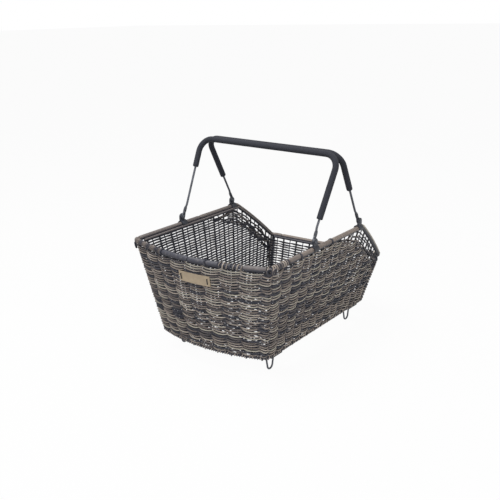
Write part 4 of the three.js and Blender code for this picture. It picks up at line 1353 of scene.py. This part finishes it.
def dress(nodes, finish, edge=None):
    """Gives carried-over nodes a finish and, for pressed or moulded ones, soft edges."""
    for name in nodes:
        node = frame["nodes"][name]
        node.data.materials.clear()
        node.data.materials.append(finish)
        if edge:
            soften(node, edge)


# The stage: the floor's half size and height, how white it shows, and the light from all round.
FLOOR_REACH, FLOOR_HEIGHT, FLOOR_WHITE = 30, -0.0005, 0.96
AMBIENT, GLOSSY_WHITE = 0.155, 0.6

# Softboxes: name, place, target, width in metres and power in watts.
SOFTBOXES = [
    ("top_softbox", (-0.4, -0.6, 2.2), (0, 0, 0.1), 1.4, 57),
    ("front_softbox", (0.2, -2.2, 1.0), (0, 0, 0.15), 1.3, 16),
    ("side_softbox", (2.3, -0.6, 0.7), (0, 0, 0.15), 1.2, 24),
]


def studio_floor(colours):
    """A pale floor that shows white to the camera and still keeps a soft shadow."""
    material = bpy.data.materials.new("studio floor")
    finish = Finish(material)
    paint = finish.node("ShaderNodeBsdfDiffuse", {}, {"Color": opaque(colours.floor)})
    glow = finish.node("ShaderNodeEmission", {}, {"Color": WHITE, "Strength": 1.0})
    white = finish.seen(1.0) * FLOOR_WHITE
    shown = finish.node("ShaderNodeMixShader", {}, {0: white, 1: paint, 2: glow})
    finish.node("ShaderNodeOutputMaterial", {}, {"Surface": shown})
    quarters = (-1, -1), (1, -1), (1, 1), (-1, 1)
    corners = [(x * FLOOR_REACH, y * FLOOR_REACH, 0) for x, y in quarters]
    mesh = bpy.data.meshes.new("studio_floor")
    mesh.from_pydata(corners, [], [(0, 1, 2, 3)])
    mesh.materials.append(material)
    floor = bpy.data.objects.new("studio_floor", mesh)
    floor.location.z = FLOOR_HEIGHT
    bpy.context.scene.collection.objects.link(floor)


def studio_world():
    """Even light from all round, which the camera and reflections see as white."""
    world = bpy.data.worlds.new("studio")
    bpy.context.scene.world = world
    finish = Finish(world)
    strength = AMBIENT + (1 - AMBIENT) * finish.seen(GLOSSY_WHITE)
    light = finish.node("ShaderNodeBackground", {}, {"Color": WHITE, "Strength": strength})
    finish.node("ShaderNodeOutputWorld", {}, {"Surface": light})


def softbox(name, place, target, width, power):
    lamp = bpy.data.lights.new(name, "AREA")
    lamp.size = width
    lamp.energy = power
    holder = bpy.data.objects.new(name, lamp)
    holder.location = place
    holder.rotation_euler = (Vector(target) - Vector(place)).to_track_quat("-Z", "Y").to_euler()
    bpy.context.scene.collection.objects.link(holder)


def studio_camera():
    """The photograph's camera: its place and directions, worked out from the basket's lines."""
    eye = Vector((0.8674, -1.1982, 0.6659))
    right = Vector((0.80172, 0.59741, -0.01848))
    forward = Vector((-0.57313, 0.75963, -0.30739))
    upward = right.cross(forward)
    camera = bpy.data.cameras.new("camera")
    camera.sensor_width = 36
    camera.lens = 53.28
    holder = bpy.data.objects.new("camera", camera)
    turn = Matrix((right, upward, -forward)).transposed().to_4x4()
    holder.matrix_world = Matrix.Translation(eye) @ turn
    bpy.context.scene.collection.objects.link(holder)
    bpy.context.scene.camera = holder


class BASKET_OT_wall_weave(bpy.types.Operator):
    """Weaves the four walls"""

    bl_idname = "basket.wall_weave"
    bl_label = "Wall weave"

    def execute(self, context):
        strand = finish_named(context.scene, "woven strand")
        wall_weave(context.scene, strand)
        between_stakes(context.scene, strand)
        return {"FINISHED"}


class BASKET_OT_rim_border(bpy.types.Operator):
    """Lays the border canes and their wrapping round the rim"""

    bl_idname = "basket.rim_border"
    bl_label = "Rim border"

    def execute(self, context):
        rim_border(context.scene, finish_named(context.scene, "woven strand"))
        return {"FINISHED"}


class BASKET_OT_foot_winding(bpy.types.Operator):
    """Winds strand round the foot"""

    bl_idname = "basket.foot_winding"
    bl_label = "Foot winding"

    def execute(self, context):
        foot_winding(context.scene, finish_named(context.scene, "woven strand"))
        return {"FINISHED"}


class BASKET_OT_floor_weave(bpy.types.Operator):
    """Weaves the floor"""

    bl_idname = "basket.floor_weave"
    bl_label = "Floor weave"

    def execute(self, context):
        floor_weave(context.scene, finish_named(context.scene, "woven strand"))
        return {"FINISHED"}


class BASKET_OT_handles(bpy.types.Operator):
    """Bends the two handles and slides their foam sleeves on"""

    bl_idname = "basket.handles"
    bl_label = "Handles"

    def execute(self, context):
        scene = context.scene
        for body in ("front_handle", "rear_handle"):
            handle = Handle(scene.basket_handles, body)
            handle_wire(handle, finish_named(scene, "zinc wire"))
            handle_feet(handle, finish_named(scene, "moulded plastic"))
            handle_grip(handle, finish_named(scene, "foam sleeve"))
        return {"FINISHED"}


class BASKET_OT_hooks(bpy.types.Operator):
    """Bends the carrier hooks and turns the pivot rivets"""

    bl_idname = "basket.hooks"
    bl_label = "Hooks and rivets"

    def execute(self, context):
        wire = finish_named(context.scene, "zinc wire")
        for node in nodes_named("hook_"):
            carrier_hook(context.scene.basket_hooks, node, wire)
        for node in nodes_named("rivet_"):
            pivot_rivet(node, wire)
        return {"FINISHED"}


class BASKET_OT_frame_pieces(bpy.types.Operator):
    """Finishes the frame wires, bars, brackets and plate"""

    bl_idname = "basket.frame_pieces"
    bl_label = "Frame pieces"

    def execute(self, context):
        coat = finish_named(context.scene, "dark coat")
        plastic = finish_named(context.scene, "moulded plastic")
        board = finish_named(context.scene, "pressed board")
        frames = [node for node in frame["nodes"] if node.endswith("_frame")]
        dress(frames + nodes_named("corner_post_", "rim_rod", "plate_staple_"), coat)
        dress(nodes_named("floor_bar_"), coat, edge=0.0006)
        dress(nodes_named("bracket_"), plastic, edge=0.0007)
        dress(["name_plate"], board, edge=0.0004)
        return {"FINISHED"}


class BASKET_OT_stage(bpy.types.Operator):
    """Sets up the floor, light and camera"""

    bl_idname = "basket.stage"
    bl_label = "Stage"

    def execute(self, context):
        context.scene.view_settings.view_transform = "Standard"
        studio_floor(context.scene.basket_colours)
        studio_world()
        for lamp in SOFTBOXES:
            softbox(*lamp)
        studio_camera()
        return {"FINISHED"}


class BASKET_PT_sidebar(bpy.types.Panel):
    """Lists the basket's steps"""

    bl_idname = "BASKET_PT_sidebar"
    bl_label = "Bicycle basket"
    bl_space_type = "VIEW_3D"
    bl_region_type = "UI"
    bl_category = "Basket"

    def draw(self, context):
        for step in STEPS:
            self.layout.operator(step.bl_idname)


STEPS = (
    BASKET_OT_wall_weave,
    BASKET_OT_rim_border,
    BASKET_OT_foot_winding,
    BASKET_OT_floor_weave,
    BASKET_OT_handles,
    BASKET_OT_hooks,
    BASKET_OT_frame_pieces,
    BASKET_OT_stage,
)


def register():
    for group in GROUPS.values():
        bpy.utils.register_class(group)
    for name, group in GROUPS.items():
        setattr(bpy.types.Scene, name, PointerProperty(type=group))
    for step in STEPS:
        bpy.utils.register_class(step)
    bpy.utils.register_class(BASKET_PT_sidebar)


def unregister():
    bpy.utils.unregister_class(BASKET_PT_sidebar)
    for step in reversed(STEPS):
        bpy.utils.unregister_class(step)
    for name in GROUPS:
        delattr(bpy.types.Scene, name)
    for group in reversed(GROUPS.values()):
        bpy.utils.unregister_class(group)


def main():
    register()
    bpy.ops.basket.wall_weave()
    bpy.ops.basket.rim_border()
    bpy.ops.basket.foot_winding()
    bpy.ops.basket.floor_weave()
    bpy.ops.basket.handles()
    bpy.ops.basket.hooks()
    bpy.ops.basket.frame_pieces()
    bpy.ops.basket.stage()


if __name__ == "__main__":
    main()
